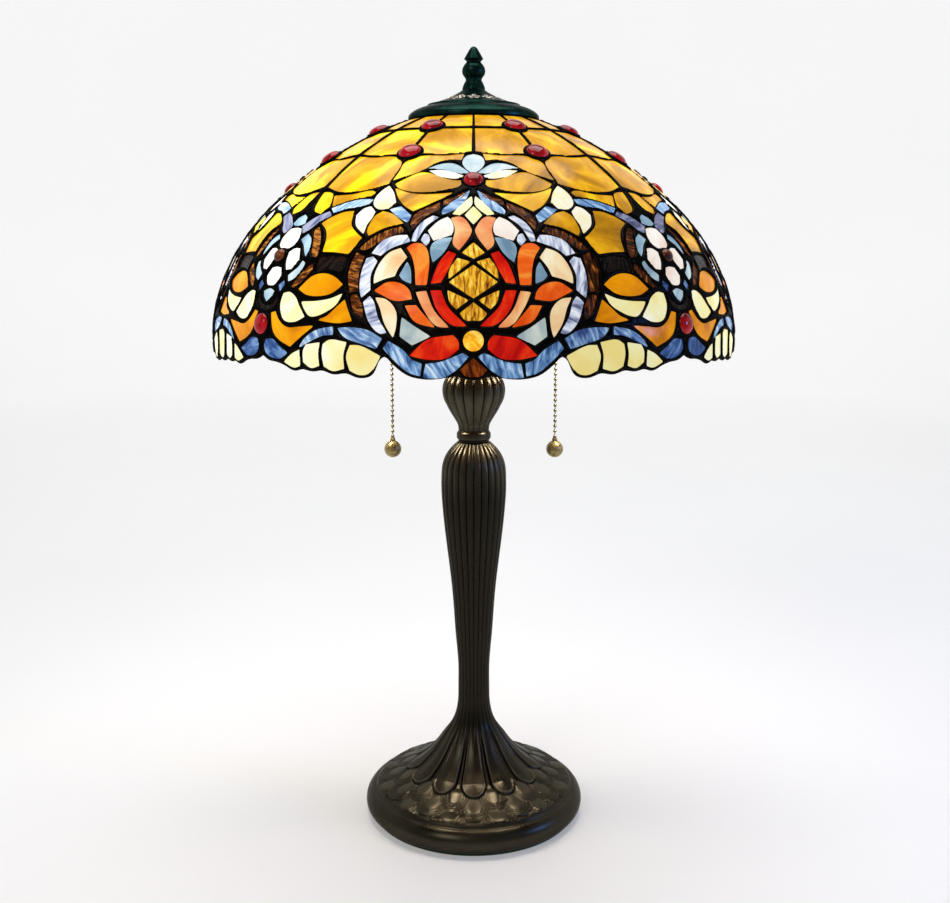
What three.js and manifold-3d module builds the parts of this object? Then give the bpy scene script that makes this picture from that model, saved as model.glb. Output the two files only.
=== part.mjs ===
// Stained glass table lamp: a domed leaded-glass shade on a fluted bronze stand, with a two-light cluster
// and two pull-chain sockets under the shade.
// Millimetres, +Z up, -Y is the front. The origin is the centre of the foot's underside.
import * as THREE from "three";
import { mergeVertices } from "three/addons/utils/BufferGeometryUtils.js";
import Module from "manifold-3d";

const wasm = await Module();
wasm.setup();

// ---- driving dimensions ----
const SHADE_RADIUS = 202.5; // outside, at the dome's widest level
const DOME_LEVEL = 400; // height of that level
const DOME_RISE = 178; // from that level to the top of the dome's curve
const DOME_POWER = 4 / 3; // the dome's radius follows cos^(4/3)
const CROWN_RADIUS = 46; // where the dome's curve is cut off for the crown ring
const GLASS_THICK = 3;
const CAME_PROUD = 0.8; // the lead stands this far out of the glass on each side
const PANELS = 8; // four lotus panels and four blossom panels, in turn
const GAP = 0.3; // between pieces that touch
const TILT = 20; // degrees that the sockets point above the horizontal
const CLUSTER_Z = 420;
const ROD_R = 4.8;
const BORE_R = ROD_R + GAP;
const THREAD_R = 3.2; // the rod's thinner top end, which carries the finial
const ROD_STEP_Z = 586;
const ROD_TOP_Z = 604;
const FOOT_R = 91.5;
const FELT_THICK = 2;
const FOOT_TOP_Z = 104;
const COLUMN_TOP_Z = 316.5;
const COLLAR_TOP_Z = 326;
const VASE_TOP_Z = 376;
const FINIAL_TOP_Z = 622;
const CHAIN_BEAD_R = 1.2;
const CHAIN_PITCH = 4.2;
const CHAIN_WIRE_R = 0.45;
const SOCKET_R = 17; // outside of a socket's brass shell
const CHAIN_X = 60; // how far out along the socket the chain leaves it
const BALL_R = 6.8;

// ---- materials ----
const finish = (color, roughness, metalness) =>
  new THREE.MeshStandardMaterial({ color, roughness, metalness });
const bronze = finish(0x3a2a1e, 0.35, 0.85);
const iron = finish(0x2c2c2e, 0.7, 0.6);
const steel = finish(0xa8a8a6, 0.35, 0.9);
const brass = finish(0xb8924a, 0.3, 0.9);
const patina = finish(0x16302c, 0.45, 0.5);
const lead = finish(0x1c1b1a, 0.5, 0.5);
const porcelain = finish(0xe8e4d8, 0.3, 0);
const rubber = finish(0x1a1614, 0.8, 0);
const felt = finish(0x22301f, 0.95, 0);
const amberGlass = finish(0xf0a21c, 0.2, 0);
const redGlass = finish(0xe2431e, 0.2, 0);
const frostedGlass = finish(0xfff4dc, 0.4, 0);

// ---- shape helpers ----
const rad = THREE.MathUtils.degToRad;
const root = new THREE.Group();

// A mesh's geometry as a closed body: only positions, with shared vertices merged.
function closed(geometry) {
  geometry.deleteAttribute("normal");
  geometry.deleteAttribute("uv");
  return mergeVertices(geometry, 1e-3);
}

// A body of revolution about Z from a closed outline of [radius, height] points, given in either direction.
function lathe(outline, segments = 20) {
  const ring = outline.map(([r, z]) => new THREE.Vector2(r, z));
  if (THREE.ShapeUtils.isClockWise(ring)) ring.reverse();
  ring.push(ring[0].clone());
  return closed(new THREE.LatheGeometry(ring, segments).rotateX(Math.PI / 2));
}

// Points of a smooth line through the given [radius, height] points.
function smooth(points, steps) {
  const line = new THREE.SplineCurve(points.map(([r, z]) => new THREE.Vector2(r, z)));
  return line.getPoints(steps).map((p) => [p.x, p.y]);
}

const tube = (outer, inner, low, high, segments = 16) =>
  lathe([[inner, low], [outer, low], [outer, high], [inner, high]], segments);

function hexNut(across, low, high) {
  const solid = tube(across / Math.sqrt(3), BORE_R, low, high);
  const hexagon = new THREE.CylinderGeometry(across / Math.sqrt(3), across / Math.sqrt(3), high - low + 2, 6);
  hexagon.rotateX(Math.PI / 2).translate(0, 0, (low + high) / 2);
  return combine(solid, [], [], hexagon);
}

const toManifold = (geometry) => {
  const g = closed(geometry.clone());
  return new wasm.Manifold(new wasm.Mesh({
    numProp: 3,
    vertProperties: g.attributes.position.array,
    triVerts: new Uint32Array(g.index.array),
  }));
};

// base, joined with each of joins, less each of cuts, kept only inside within.
function combine(base, joins = [], cuts = [], within = null) {
  let solid = toManifold(base);
  for (const piece of joins) solid = solid.add(toManifold(piece));
  for (const piece of cuts) solid = solid.subtract(toManifold(piece));
  if (within) solid = solid.intersect(toManifold(within));
  const made = solid.getMesh();
  return new THREE.BufferGeometry()
    .setAttribute("position", new THREE.BufferAttribute(new Float32Array(made.vertProperties), 3))
    .setIndex(new THREE.BufferAttribute(new Uint32Array(made.triVerts), 1));
}

const rodAlong = (axis, radius, length, segments = 12) => {
  const g = new THREE.CylinderGeometry(radius, radius, length, segments);
  if (axis === "x") g.rotateZ(Math.PI / 2);
  if (axis === "z") g.rotateX(Math.PI / 2);
  return g;
};

function add(name, geometry, material, group = root) {
  const mesh = new THREE.Mesh(geometry, material);
  mesh.name = name;
  group.add(mesh);
  return mesh;
}

// ---- the foot, with its iron weight drawn up into it by a nut on the rod ----
const footFlare = smooth(
  [[82, 23.5], [70, 27.5], [58, 32.5], [46, 39.5], [36, 48.5], [28, 59], [22, 68.5], [17, 78], [13.8, 92],
    [13, FOOT_TOP_Z]], 10);
const footRim = smooth([[86.5, FELT_THICK + GAP], [90.4, 5], [FOOT_R, 10.5], [90, 16.5], [85.5, 21], [83, 21.4]], 5);
const footInside = [
  [BORE_R, FOOT_TOP_Z], [BORE_R, 61], [20, 60], [38, 41], [60, 27], [60, 22.3], [72, 22.3], [83, 12],
  [84, FELT_THICK + GAP],
];
const BUSHING_Z = 10.5;
const BUSHING_R = 4.6;
const cordHole = rodAlong("y", BUSHING_R, 30, 16).translate(0, FOOT_R - 2, BUSHING_Z);
add("base_foot", combine(lathe([...footRim, ...footFlare, ...footInside], 28), [], [cordHole]), bronze);
add("felt_pad", lathe([[0, 0], [86, 0], [86, FELT_THICK], [0, FELT_THICK]], 28), felt);
add("base_weight", tube(70, BORE_R, 12, 22), iron);
add("base_washer", tube(11, BORE_R, 9.7, 11.7), steel);
add("base_nut", hexNut(14, 3.6, 9.4), steel);

// The bushing where the mains lead leaves the back of the foot.
const bushing = lathe([
  [3.2, -10], [BUSHING_R - GAP, -10], [BUSHING_R - GAP, GAP], [6.6, GAP], [6.2, 2.2], [4.2, 3], [3.2, 3],
], 16);
add("cord_bushing", bushing.rotateX(-Math.PI / 2).translate(0, FOOT_R + GAP, BUSHING_Z), rubber);

// ---- the rod and the castings stacked on it ----
add("lamp_rod", lathe([
  [1.8, FELT_THICK + 1], [ROD_R, FELT_THICK + 1], [ROD_R, ROD_STEP_Z], [THREAD_R, ROD_STEP_Z],
  [THREAD_R, ROD_TOP_Z], [1.8, ROD_TOP_Z],
], 16), steel);

const columnSide = smooth(
  [[13, FOOT_TOP_Z + GAP], [13, 125], [15, 152], [17.8, 191], [22.2, 230], [25.6, 262], [26.5, 280],
    [25.9, 295], [22.5, 306], [17.5, 312.3], [12.8, COLUMN_TOP_Z]], 11);
const COLUMN_WALL = 3.2;
add("column", lathe([
  ...columnSide, [BORE_R, COLUMN_TOP_Z], [BORE_R, 308], [19, 303], [26.5 - COLUMN_WALL, 280],
  [22.2 - COLUMN_WALL, 230], [17.8 - COLUMN_WALL, 191], [11, 152], [BORE_R, 130], [BORE_R, FOOT_TOP_Z + GAP],
]), bronze);

const collarLow = COLUMN_TOP_Z + GAP;
const collarSide = smooth([[12.4, collarLow], [13.8, 321.4], [12.4, COLLAR_TOP_Z]], 4);
add("column_collar", lathe([[BORE_R, collarLow], ...collarSide, [BORE_R, COLLAR_TOP_Z]]), bronze);

const vaseLow = COLLAR_TOP_Z + GAP;
const vaseSide = smooth(
  [[12.3, vaseLow], [13.6, 331.5], [18.6, 340], [23.2, 349], [25.3, 358], [23.7, 366], [18.5, 372.5],
    [11, VASE_TOP_Z]], 9);
add("vase_knop", lathe([
  [BORE_R, vaseLow], ...vaseSide, [BORE_R, VASE_TOP_Z], [BORE_R, 372], [17, 367.5], [21.8, 358],
  [19, 348], [13, 339], [BORE_R, 334],
]), bronze);

const SEAT_TOP_Z = VASE_TOP_Z + GAP + 2.9;
const HUB_HALF = 12;
add("vase_seat_ring", tube(13.5, BORE_R, VASE_TOP_Z + GAP, SEAT_TOP_Z), bronze);
add("stem_tube", tube(8, BORE_R, SEAT_TOP_Z + GAP, CLUSTER_Z - HUB_HALF - GAP), brass);

// ---- the two-light cluster: a hub with an arm to each socket ----
const hubSide = smooth([[12, -HUB_HALF], [15, -6], [15, 6], [11, HUB_HALF]], 5);
const hub = lathe([[0, -HUB_HALF], ...hubSide, [0, HUB_HALF]], 16);
const ARM_END = 33.7;
const arms = [0, 180].map((turn) =>
  rodAlong("x", 6.5, ARM_END).translate(ARM_END / 2, 0, 0).rotateY(-rad(TILT)).rotateZ(rad(turn)));
const hubBore = rodAlong("z", BORE_R, 60, 16);
add("cluster_body", combine(hub, arms, [hubBore]), brass).position.z = CLUSTER_Z;

const LOCKNUT_LOW = 551.5;
add("riser_tube", tube(7.5, BORE_R, CLUSTER_Z + HUB_HALF + GAP, LOCKNUT_LOW - GAP), brass);
add("wheel_locknut", hexNut(14, LOCKNUT_LOW, 556.7), steel);

// The spoked wheel that carries the shade by its crown ring.
const WHEEL_RIM_TOP = 562.7;
const wheelHub = tube(10, BORE_R, 557, 565);
const wheelRim = tube(46.5, 39, WHEEL_RIM_TOP - 3.2, WHEEL_RIM_TOP, 24);
const spokes = [0, 90, 180, 270].map((turn) =>
  new THREE.BoxGeometry(33, 6, 3.2).translate(24.5, 0, WHEEL_RIM_TOP - 1.6).rotateZ(rad(turn + 45)));
add("shade_wheel", combine(wheelHub, [wheelRim, ...spokes]), brass);

// ---- each side's socket, switch, bulb and pull chain ----
// Inside a socket's group X points out along the socket and -Z points out through the chain guide.
const CAM_X = 51;
const CAM_Z = -8.7;
const STUB_BEADS = 4;
const STUB_END = -27;
const STUB_TOP = STUB_END + STUB_BEADS * CHAIN_PITCH;
const CORE_X = 52; // the back of the socket's porcelain core
const CORE_FLOOR = 13; // thickness of its floor, which the switch is let into from behind
const alongX = (g) => g.rotateY(Math.PI / 2);

function socketCap() {
  const outside = smooth([[8, 0], [9.5, 5], [15, 11], [SOCKET_R, 15.5]], 5);
  return alongX(lathe([[6.8, 0], ...outside, [15.8, 15.5], [13.4, 11.5], [7.8, 6]], 16));
}

function socketCore() {
  const cup = lathe(
    [[0, 0], [15.3, 0], [15.3, 30], [13.7, 30], [13.7, CORE_FLOOR], [0, CORE_FLOOR]], 16);
  const roomDeep = CORE_FLOOR - 2;
  const switchRoom = new THREE.BoxGeometry(2 * roomDeep, 9, 20).translate(CORE_X, 0, -13);
  return combine(alongX(cup).translate(CORE_X, 0, 0), [], [switchRoom]);
}

function switchCam() {
  const wheel = rodAlong("y", 3.4, 5, 16);
  const arm = new THREE.BoxGeometry(8, 2.4, 1.8).translate(6, 0, 0);
  return combine(wheel, [arm]).translate(CAM_X, 0, CAM_Z);
}

// A run of bead chain that hangs down from top: one lathe outline that swells at each bead.
function beadRun(top, beads) {
  const side = [];
  for (let i = 0; i < beads; i++) {
    const middle = -(i + 0.5) * CHAIN_PITCH;
    side.push([CHAIN_WIRE_R, middle + CHAIN_BEAD_R], [CHAIN_BEAD_R, middle], [CHAIN_WIRE_R, middle - CHAIN_BEAD_R]);
  }
  const low = -beads * CHAIN_PITCH + GAP;
  return lathe([[0, 0], [CHAIN_WIRE_R, 0], ...side, [CHAIN_WIRE_R, low], [0, low]], 5).translate(0, 0, top);
}

function chainBall() {
  const side = [];
  for (let step = 1; step < 7; step++) {
    const angle = (step / 7) * Math.PI;
    side.push([BALL_R * Math.sin(angle), -BALL_R * Math.cos(angle)]);
  }
  return lathe([[0, -BALL_R], ...side, [1.9, BALL_R], [1.9, BALL_R + 1.6], [0, BALL_R + 1.6]], 12);
}

const MOUTH_X = 86; // where the bulb enters the socket
const BULB_R = 28;
const BULB_END = 160;
function bulbGlass() {
  const outside = smooth(
    [[12.6, MOUTH_X + 0.6], [14, 94], [22, 108], [27.4, 122], [BULB_R, 133], [24.5, 147], [14, 157],
      [0, BULB_END]], 9);
  const inside = smooth([[0, BULB_END - 1.2], [13.4, 155.8], [23.3, 146.4], [26.8, 133], [21, 108.6],
    [12.8, 94], [11.4, MOUTH_X + 0.6]], 7);
  return alongX(lathe([...outside, ...inside], 16));
}

const UPPER_BEADS = 11;
const LOWER_BEADS = 12;
for (const [side, turn] of [["right", 0], ["left", 180]]) {
  const arm = new THREE.Group(); // turned to its side of the lamp
  arm.rotation.z = rad(turn);
  arm.position.z = CLUSTER_Z;
  root.add(arm);
  const socket = new THREE.Group(); // tilted up along the socket
  socket.rotation.y = -rad(TILT);
  arm.add(socket);

  add(`${side}_socket_cap`, socketCap().translate(ARM_END + GAP + 0.2, 0, 0), brass, socket);
  const guideHole = rodAlong("z", 2.9, 10).translate(CHAIN_X, 0, -SOCKET_R);
  const shell = alongX(tube(SOCKET_R, SOCKET_R - 1, 50.2, MOUTH_X));
  add(`${side}_socket_shell`, combine(shell, [], [guideHole]), brass, socket);
  add(`${side}_socket_core`, socketCore(), porcelain, socket);
  add(`${side}_switch_cam`, switchCam(), brass, socket);
  const guide = lathe([[1.9, -16], [2.5, -16], [2.5, -17.4], [4.2, -17.4], [4.2, -18.6], [2.9, -19.4],
    [2.9, -23], [4.4, -25.5], [3.8, -25.8], [1.9, -23.6]], 12);
  add(`${side}_chain_guide`, guide.translate(CHAIN_X, 0, 0), brass, socket);
  add(`${side}_chain_stub`, beadRun(STUB_TOP, STUB_BEADS).translate(CHAIN_X, 0, 0), brass, socket);
  add(`${side}_bulb_cap`, alongX(lathe([
    [0, 67], [4.5, 67], [5, 69], [11.5, 70], [13.2, 71.5], [13.2, 84], [11.8, 86.2], [0, 86.2],
  ], 16)), steel, socket);
  add(`${side}_bulb_glass`, bulbGlass(), frostedGlass, socket);

  // The chain hangs plumb from where the stub leaves its guide.
  const exit = new THREE.Vector3(CHAIN_X, 0, STUB_END).applyAxisAngle(new THREE.Vector3(0, 1, 0), -rad(TILT));
  const hang = new THREE.Group();
  hang.position.set(exit.x, 0, exit.z);
  arm.add(hang);
  const upperLow = -GAP - UPPER_BEADS * CHAIN_PITCH;
  const lowerLow = upperLow - LOWER_BEADS * CHAIN_PITCH;
  add(`${side}_chain_upper`, beadRun(-GAP, UPPER_BEADS), brass, hang);
  add(`${side}_chain_lower`, beadRun(upperLow, LOWER_BEADS), brass, hang);
  add(`${side}_chain_ball`, chainBall().translate(0, 0, lowerLow - BALL_R - 1.6), brass, hang);
}

// ---- the leaded glass shade ----
// The dome's outline as [radius, height, distance down the curve], from the crown to below the rim.
function domeLine() {
  const line = [];
  const steps = 60;
  const last = Math.acos((CROWN_RADIUS / SHADE_RADIUS) ** (1 / DOME_POWER));
  for (let i = 0; i <= steps; i++) {
    const angle = last * (1 - i / steps);
    line.push([SHADE_RADIUS * Math.cos(angle) ** DOME_POWER, DOME_LEVEL + DOME_RISE * Math.sin(angle)]);
  }
  line.push([SHADE_RADIUS - 0.5, DOME_LEVEL - 15], [SHADE_RADIUS - 1.5, DOME_LEVEL - 35]);
  let down = 0;
  return line.map(([r, z], i) => {
    if (i) down += Math.hypot(r - line[i - 1][0], z - line[i - 1][1]);
    return [r, z, down];
  });
}
const DOME = domeLine();

// The point on the dome that is down mm along its curve, turned by angle and sunk below the surface by depth.
function onDome(angle, down, depth) {
  let i = 1;
  while (i < DOME.length - 1 && DOME[i][2] < down) i++;
  const [r0, z0, s0] = DOME[i - 1];
  const [r1, z1, s1] = DOME[i];
  const share = (down - s0) / (s1 - s0);
  const length = Math.hypot(r1 - r0, z1 - z0);
  const r = r0 + (r1 - r0) * share + (depth * (z1 - z0)) / length;
  const z = z0 + (z1 - z0) * share - (depth * (r1 - r0)) / length;
  return [r * Math.sin(angle), -r * Math.cos(angle), z];
}

// How far down the curve the scalloped rim lies, by the angle in degrees from the middle of a lotus panel.
const RIM = new THREE.SplineCurve([
  [0, 252], [4, 253.5], [8, 254], [12, 251], [16, 242], [19, 247.5], [22.5, 250.5], [29, 249.8], [36, 250],
  [41, 247], [45, 243.5], [49, 247],
].map(([angle, down]) => new THREE.Vector2(angle, down)));
const RIM_POINTS = RIM.getPoints(120);
function rimDown(angle) {
  const quarter = ((((angle / Math.PI) * 180) % 90) + 90) % 90;
  const folded = Math.min(quarter, 90 - quarter);
  const i = RIM_POINTS.findIndex((p) => p.x >= folded);
  if (i < 1) return RIM_POINTS[0].y;
  const [a, b] = [RIM_POINTS[i - 1], RIM_POINTS[i]];
  return a.y + ((b.y - a.y) * (folded - a.x)) / (b.x - a.x);
}

// A box of unit size, cut into columns and rows and bent onto the dome by place(across, downShare, depthShare).
function bentBox(columns, rows, place) {
  const box = new THREE.BoxGeometry(1, 1, 1, columns, rows, 1);
  const at = box.attributes.position;
  for (let i = 0; i < at.count; i++)
    at.setXYZ(i, ...place(at.getX(i) * 2, 0.5 - at.getY(i), 0.5 - at.getZ(i)));
  return closed(box);
}

const RIM_CAME = 3; // height of the lead that binds the rim
const RIM_CLEAR = 1; // from that lead up to the panels and seams
const PANEL_TOP = 4;
const SEAM_HALF = 1.5;
const HALF_PANEL = Math.PI / PANELS;
const radiusAt = (down) => -onDome(0, down, 0)[1];

function panel(centre) {
  return bentBox(9, 7, (across, share, depth) => {
    const rough = PANEL_TOP + share * (246 - PANEL_TOP);
    const angle = centre + across * (HALF_PANEL - (SEAM_HALF + GAP) / radiusAt(rough));
    const down = PANEL_TOP + share * (rimDown(angle) - RIM_CAME - RIM_CLEAR - PANEL_TOP);
    return onDome(angle, down, depth * GLASS_THICK);
  });
}

function seam(centre) {
  return bentBox(1, 7, (across, share, depth) => {
    const down = PANEL_TOP + share * (rimDown(centre) - RIM_CAME - RIM_CLEAR - PANEL_TOP);
    const angle = centre + (across * SEAM_HALF) / radiusAt(down);
    return onDome(angle, down, depth * (GLASS_THICK + 2 * CAME_PROUD) - CAME_PROUD);
  });
}

// The rim's lead is a ring whose square section rises and falls with the scallops.
function rimCame() {
  const ring = new THREE.LatheGeometry(
    [[0, 0], [1, 0], [1, 1], [0, 1], [0, 0]].map(([x, y]) => new THREE.Vector2(x + 1, y)), 72);
  const at = ring.attributes.position;
  for (let i = 0; i < at.count; i++) {
    const angle = Math.atan2(at.getX(i), at.getZ(i)) + HALF_PANEL;
    const outside = Math.hypot(at.getX(i), at.getZ(i)) - 1;
    const down = rimDown(angle) - RIM_CAME * at.getY(i);
    const depth = (1 - outside) * (GLASS_THICK + 2 * CAME_PROUD) - CAME_PROUD;
    at.setXYZ(i, ...onDome(angle, down, depth));
  }
  return closed(ring);
}

const shade = new THREE.Group();
root.add(shade);
add("shade_crown_ring", tube(48, 41, 563, 568, 24), brass, shade);
for (let i = 0; i < PANELS; i++) {
  const centre = i * 2 * HALF_PANEL;
  const lotus = i % 2 === 0;
  const name = `${lotus ? "lotus" : "blossom"}_panel_${Math.floor(i / 2) + 1}`;
  add(name, panel(centre), lotus ? redGlass : amberGlass, shade);
  add(`seam_came_${i + 1}`, seam(centre + HALF_PANEL), lead, shade);
}
add("rim_came", rimCame(), lead, shade);

// ---- the pierced cap that holds the shade down, and the finial that holds the cap ----
const capOutside = smooth(
  [[9.2, 589.6], [16.9, 586.3], [28.8, 581.8], [40.8, 577.4], [47, 573.8], [50.6, 570.8], [50.3, 569]], 7);
const capInside = [[47.5, 568.4], [41.5, 568.4], [39.5, 574.6], [28, 579.9], [16, 584.4], [THREAD_R + GAP, 587]];
const vents = [];
for (let i = 0; i < 12; i++)
  vents.push(rodAlong("z", 2.2, 20, 6).translate(27, 0, 581).rotateZ(rad(i * 30 + 15)));
add("heat_cap", combine(lathe([[THREAD_R + GAP, 589.6], ...capOutside, ...capInside]), [], vents),
  patina, shade);

const finialSide = smooth(
  [[8.8, 590], [7.6, 593.5], [6.1, 597.3], [8.4, 600.7], [9, 603.6], [7.6, 607.6], [5.6, 610.2]], 8);
const finialTip = [[7.3, 612.4], [4.6, 617.1], [1.9, 621.2], [0, FINIAL_TOP_Z]];
add("finial", lathe([
  [THREAD_R + GAP, 590], ...finialSide, ...finialTip, [0, ROD_TOP_Z + 1], [THREAD_R + GAP, ROD_TOP_Z + 1],
], 16), patina);

export default root;
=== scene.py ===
"""Stained glass table lamp: the looks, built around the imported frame.

The shade is drawn as a flat pattern of glass outlines in (degrees round the lamp, millimetres down
the dome's curve), and every outline is bent onto the dome. The lead is whatever the glass leaves open.
Outlines are listed for an eighth of the shade, from the middle of a lotus panel (0) to the middle of a
blossom panel (45), and mirrored. Sizes in outlines and profiles are millimetres. Meshes are in metres,
in the frame's own axes: +Z up, -Y front.
"""
import math
import random

import bpy
import numpy as np
from mathutils import Matrix, Vector, noise
from mathutils.geometry import delaunay_2d_cdt


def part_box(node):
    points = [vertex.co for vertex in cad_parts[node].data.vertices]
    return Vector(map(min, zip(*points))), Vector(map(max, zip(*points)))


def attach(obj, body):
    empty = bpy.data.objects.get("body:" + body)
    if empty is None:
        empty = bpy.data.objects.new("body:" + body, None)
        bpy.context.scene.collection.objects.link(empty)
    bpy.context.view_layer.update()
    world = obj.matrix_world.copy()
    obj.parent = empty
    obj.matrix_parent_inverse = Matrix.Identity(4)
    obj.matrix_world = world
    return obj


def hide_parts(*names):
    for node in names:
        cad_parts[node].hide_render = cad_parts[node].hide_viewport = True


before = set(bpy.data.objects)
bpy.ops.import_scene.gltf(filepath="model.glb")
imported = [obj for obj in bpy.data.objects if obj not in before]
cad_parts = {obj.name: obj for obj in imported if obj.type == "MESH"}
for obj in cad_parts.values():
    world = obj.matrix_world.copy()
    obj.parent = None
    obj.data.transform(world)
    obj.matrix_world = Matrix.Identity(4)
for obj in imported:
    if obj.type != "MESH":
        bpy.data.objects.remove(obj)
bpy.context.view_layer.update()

MM = 0.001
EIGHTH = math.pi / 4
SIDES = (("right", 1), ("left", -1))


# ---------------------------------------------------------------- sizes taken from the frame
def low(node):
    return np.array(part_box(node)[0]) / MM


def high(node):
    return np.array(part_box(node)[1]) / MM


RIM_PROUD = 0.4  # how far the rim's lead stands out past the glass
CROWN_LIP = 2  # how far the crown ring reaches out past the top of the glass
DOME_RISE = 178.0
DOME_POWER = 4 / 3
SHADE_R = high("rim_came")[0] - RIM_PROUD
CROWN_R = high("shade_crown_ring")[0] - CROWN_LIP
CROWN_ANGLE = math.acos((CROWN_R / SHADE_R) ** (1 / DOME_POWER))
DOME_LEVEL = high("shade_crown_ring")[2] - DOME_RISE * math.sin(CROWN_ANGLE)
SKIRT = 35.0  # the straight part below the dome, down the shade
SKIRT_IN = 1.5  # how far it leans in at its foot
GLASS_THICK = 2.6
GLASS_SUNK = 0.35
GLASS_UNDER_LEAD = 0.25
LEAD_TRIM = 0.5  # the glass shows this much wider than its outline


# ---------------------------------------------------------------- lines and outlines
def smooth_line(points, step, closed=False, corner=48.0):
    """Points about step apart on a smooth line through points. Turns sharper than corner stay sharp."""
    p = np.array(points, float)
    n = len(p)
    spans = n if closed else n - 1
    chord = [p[(i + 1) % n] - p[i] for i in range(spans)]
    unit = [c / max(np.hypot(*c), 1e-9) for c in chord]
    limit = math.cos(math.radians(corner))
    line = []
    for i in range(spans):
        leave, arrive = unit[i], unit[i]
        if (closed or i > 0) and unit[i - 1] @ unit[i] > limit:
            leave = unit[i - 1] + unit[i]
        if closed or i < spans - 1:
            after = unit[(i + 1) % spans]
            if unit[i] @ after > limit:
                arrive = unit[i] + after
        length = np.hypot(*chord[i])
        leave = leave / np.hypot(*leave) * length
        arrive = arrive / np.hypot(*arrive) * length
        for t in np.linspace(0, 1, max(2, math.ceil(length / step) + 1))[:-1]:
            a, b = t * t * (3 - 2 * t), t * (1 - t)
            line.append(p[i] * (1 - a) + p[(i + 1) % n] * a + leave * b * (1 - t) - arrive * b * t)
    if not closed:
        line.append(p[-1])
    return np.array(line)


def widened(outline, by):
    """A closed outline moved outwards by a distance."""
    ahead = np.roll(outline, -1, axis=0) - np.roll(outline, 1, axis=0)
    ahead /= np.maximum(np.hypot(ahead[:, 0], ahead[:, 1]), 1e-12)[:, None]
    x, y = outline[:, 0], outline[:, 1]
    turn = math.copysign(by, (x * np.roll(y, -1) - np.roll(x, -1) * y).sum())
    return outline + np.column_stack([ahead[:, 1], -ahead[:, 0]]) * turn


def in_outline(points, outline):
    """Which of points lie inside a closed outline."""
    inside = np.zeros(len(points), bool)
    x, y = points[:, 0], points[:, 1]
    ends = np.roll(outline, -1, axis=0)
    for (x0, y0), (x1, y1) in zip(outline, ends):
        if y0 != y1:
            inside ^= ((y0 > y) != (y1 > y)) & (x < (x1 - x0) * (y - y0) / (y1 - y0) + x0)
    return inside


def sides_of(ring):
    """The sides of a closed outline, each (start, end)."""
    return np.stack([ring, np.roll(ring, -1, axis=0)], axis=1)


def distance_to(points, lines):
    """Each point's distance to the nearest of many short lines, each (start, end)."""
    start, end = lines[:, 0], lines[:, 1]
    along = end - start
    square = np.maximum((along**2).sum(1), 1e-18)
    best = np.full(len(points), 1e9)
    for i in range(0, len(points), 400):
        gap = points[i : i + 400, None] - start[None]
        share = ((gap * along[None]).sum(2) / square).clip(0, 1)
        best[i : i + 400] = np.sqrt(((gap - share[..., None] * along) ** 2).sum(2)).min(1)
    return best


FLAT_SCALE = 1000.0  # the triangulation works on numbers of a few hundred


def filled(rings, grid, merge):
    """(points, triangles) of the area round a grid's points that closed outlines bound.

    Points nearer than merge, on the scale above, become one.
    """
    links, start = [], 0
    for ring in rings:
        links += [(start + i, start + (i + 1) % len(ring)) for i in range(len(ring))]
        start += len(ring)
    source = [Vector(p * FLAT_SCALE) for p in np.vstack([*rings, grid])]
    found, _, triangles, *_ = delaunay_2d_cdt(source, links, [], 0, merge)
    return np.array(found) / FLAT_SCALE, np.array(triangles)


def shell(outer, inner, triangles):
    """(points, faces) of a closed shell between two sheets with the same triangles."""
    count = len(outer)
    pairs = np.vstack([triangles[:, [0, 1]], triangles[:, [1, 2]], triangles[:, [2, 0]]])
    code = pairs.min(1).astype(np.int64) * count + pairs.max(1)
    _, at, times = np.unique(code, return_index=True, return_counts=True)
    edge = pairs[at[times == 1]]
    walls = np.column_stack([edge[:, 1], edge[:, 0], edge[:, 0] + count, edge[:, 1] + count])
    faces = triangles.tolist() + (triangles[:, ::-1] + count).tolist() + walls.tolist()
    return np.vstack([outer, inner]), faces


# ---------------------------------------------------------------- the dome
def dome_table():
    """Rows of (down the curve, radius, height), from the crown to below the rim."""
    angle = np.linspace(CROWN_ANGLE, 0, 1200)
    radius = SHADE_R * np.cos(angle) ** DOME_POWER
    height = DOME_LEVEL + DOME_RISE * np.sin(angle)
    skirt = np.linspace(0.5, SKIRT, 60)
    radius = np.append(radius, SHADE_R - SKIRT_IN * (skirt / SKIRT) ** 2)
    height = np.append(height, DOME_LEVEL - skirt)
    steps = np.hypot(np.diff(radius), np.diff(height))
    return np.append(0, np.cumsum(steps)), radius, height


DOWN, RADIUS, HEIGHT = dome_table()
SLOPE_R = np.gradient(RADIUS, DOWN)
SLOPE_Z = np.gradient(HEIGHT, DOWN)
# Round the lamp in radians against this, down it, makes a flat map that keeps every angle.
FLAT = np.append(0, np.cumsum(np.diff(DOWN) / ((RADIUS[1:] + RADIUS[:-1]) / 2)))


def radius_at(down):
    return np.interp(down, DOWN, RADIUS)


def flat(outline):
    """An outline of (degrees, mm down) on the flat map."""
    p = np.array(outline, float)
    return np.column_stack([np.radians(p[:, 0]), np.interp(p[:, 1], DOWN, FLAT)])


def on_dome(points, lift):
    """Points of the flat map in space, in mm, lift mm above the dome's surface."""
    angle, down = points[:, 0], np.interp(points[:, 1], FLAT, DOWN)
    nr, nz = -np.interp(down, DOWN, SLOPE_Z), np.interp(down, DOWN, SLOPE_R)
    r = radius_at(down) + nr * lift
    z = np.interp(down, DOWN, HEIGHT) + nz * lift
    return np.column_stack([r * np.sin(angle), -r * np.cos(angle), z])


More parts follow.
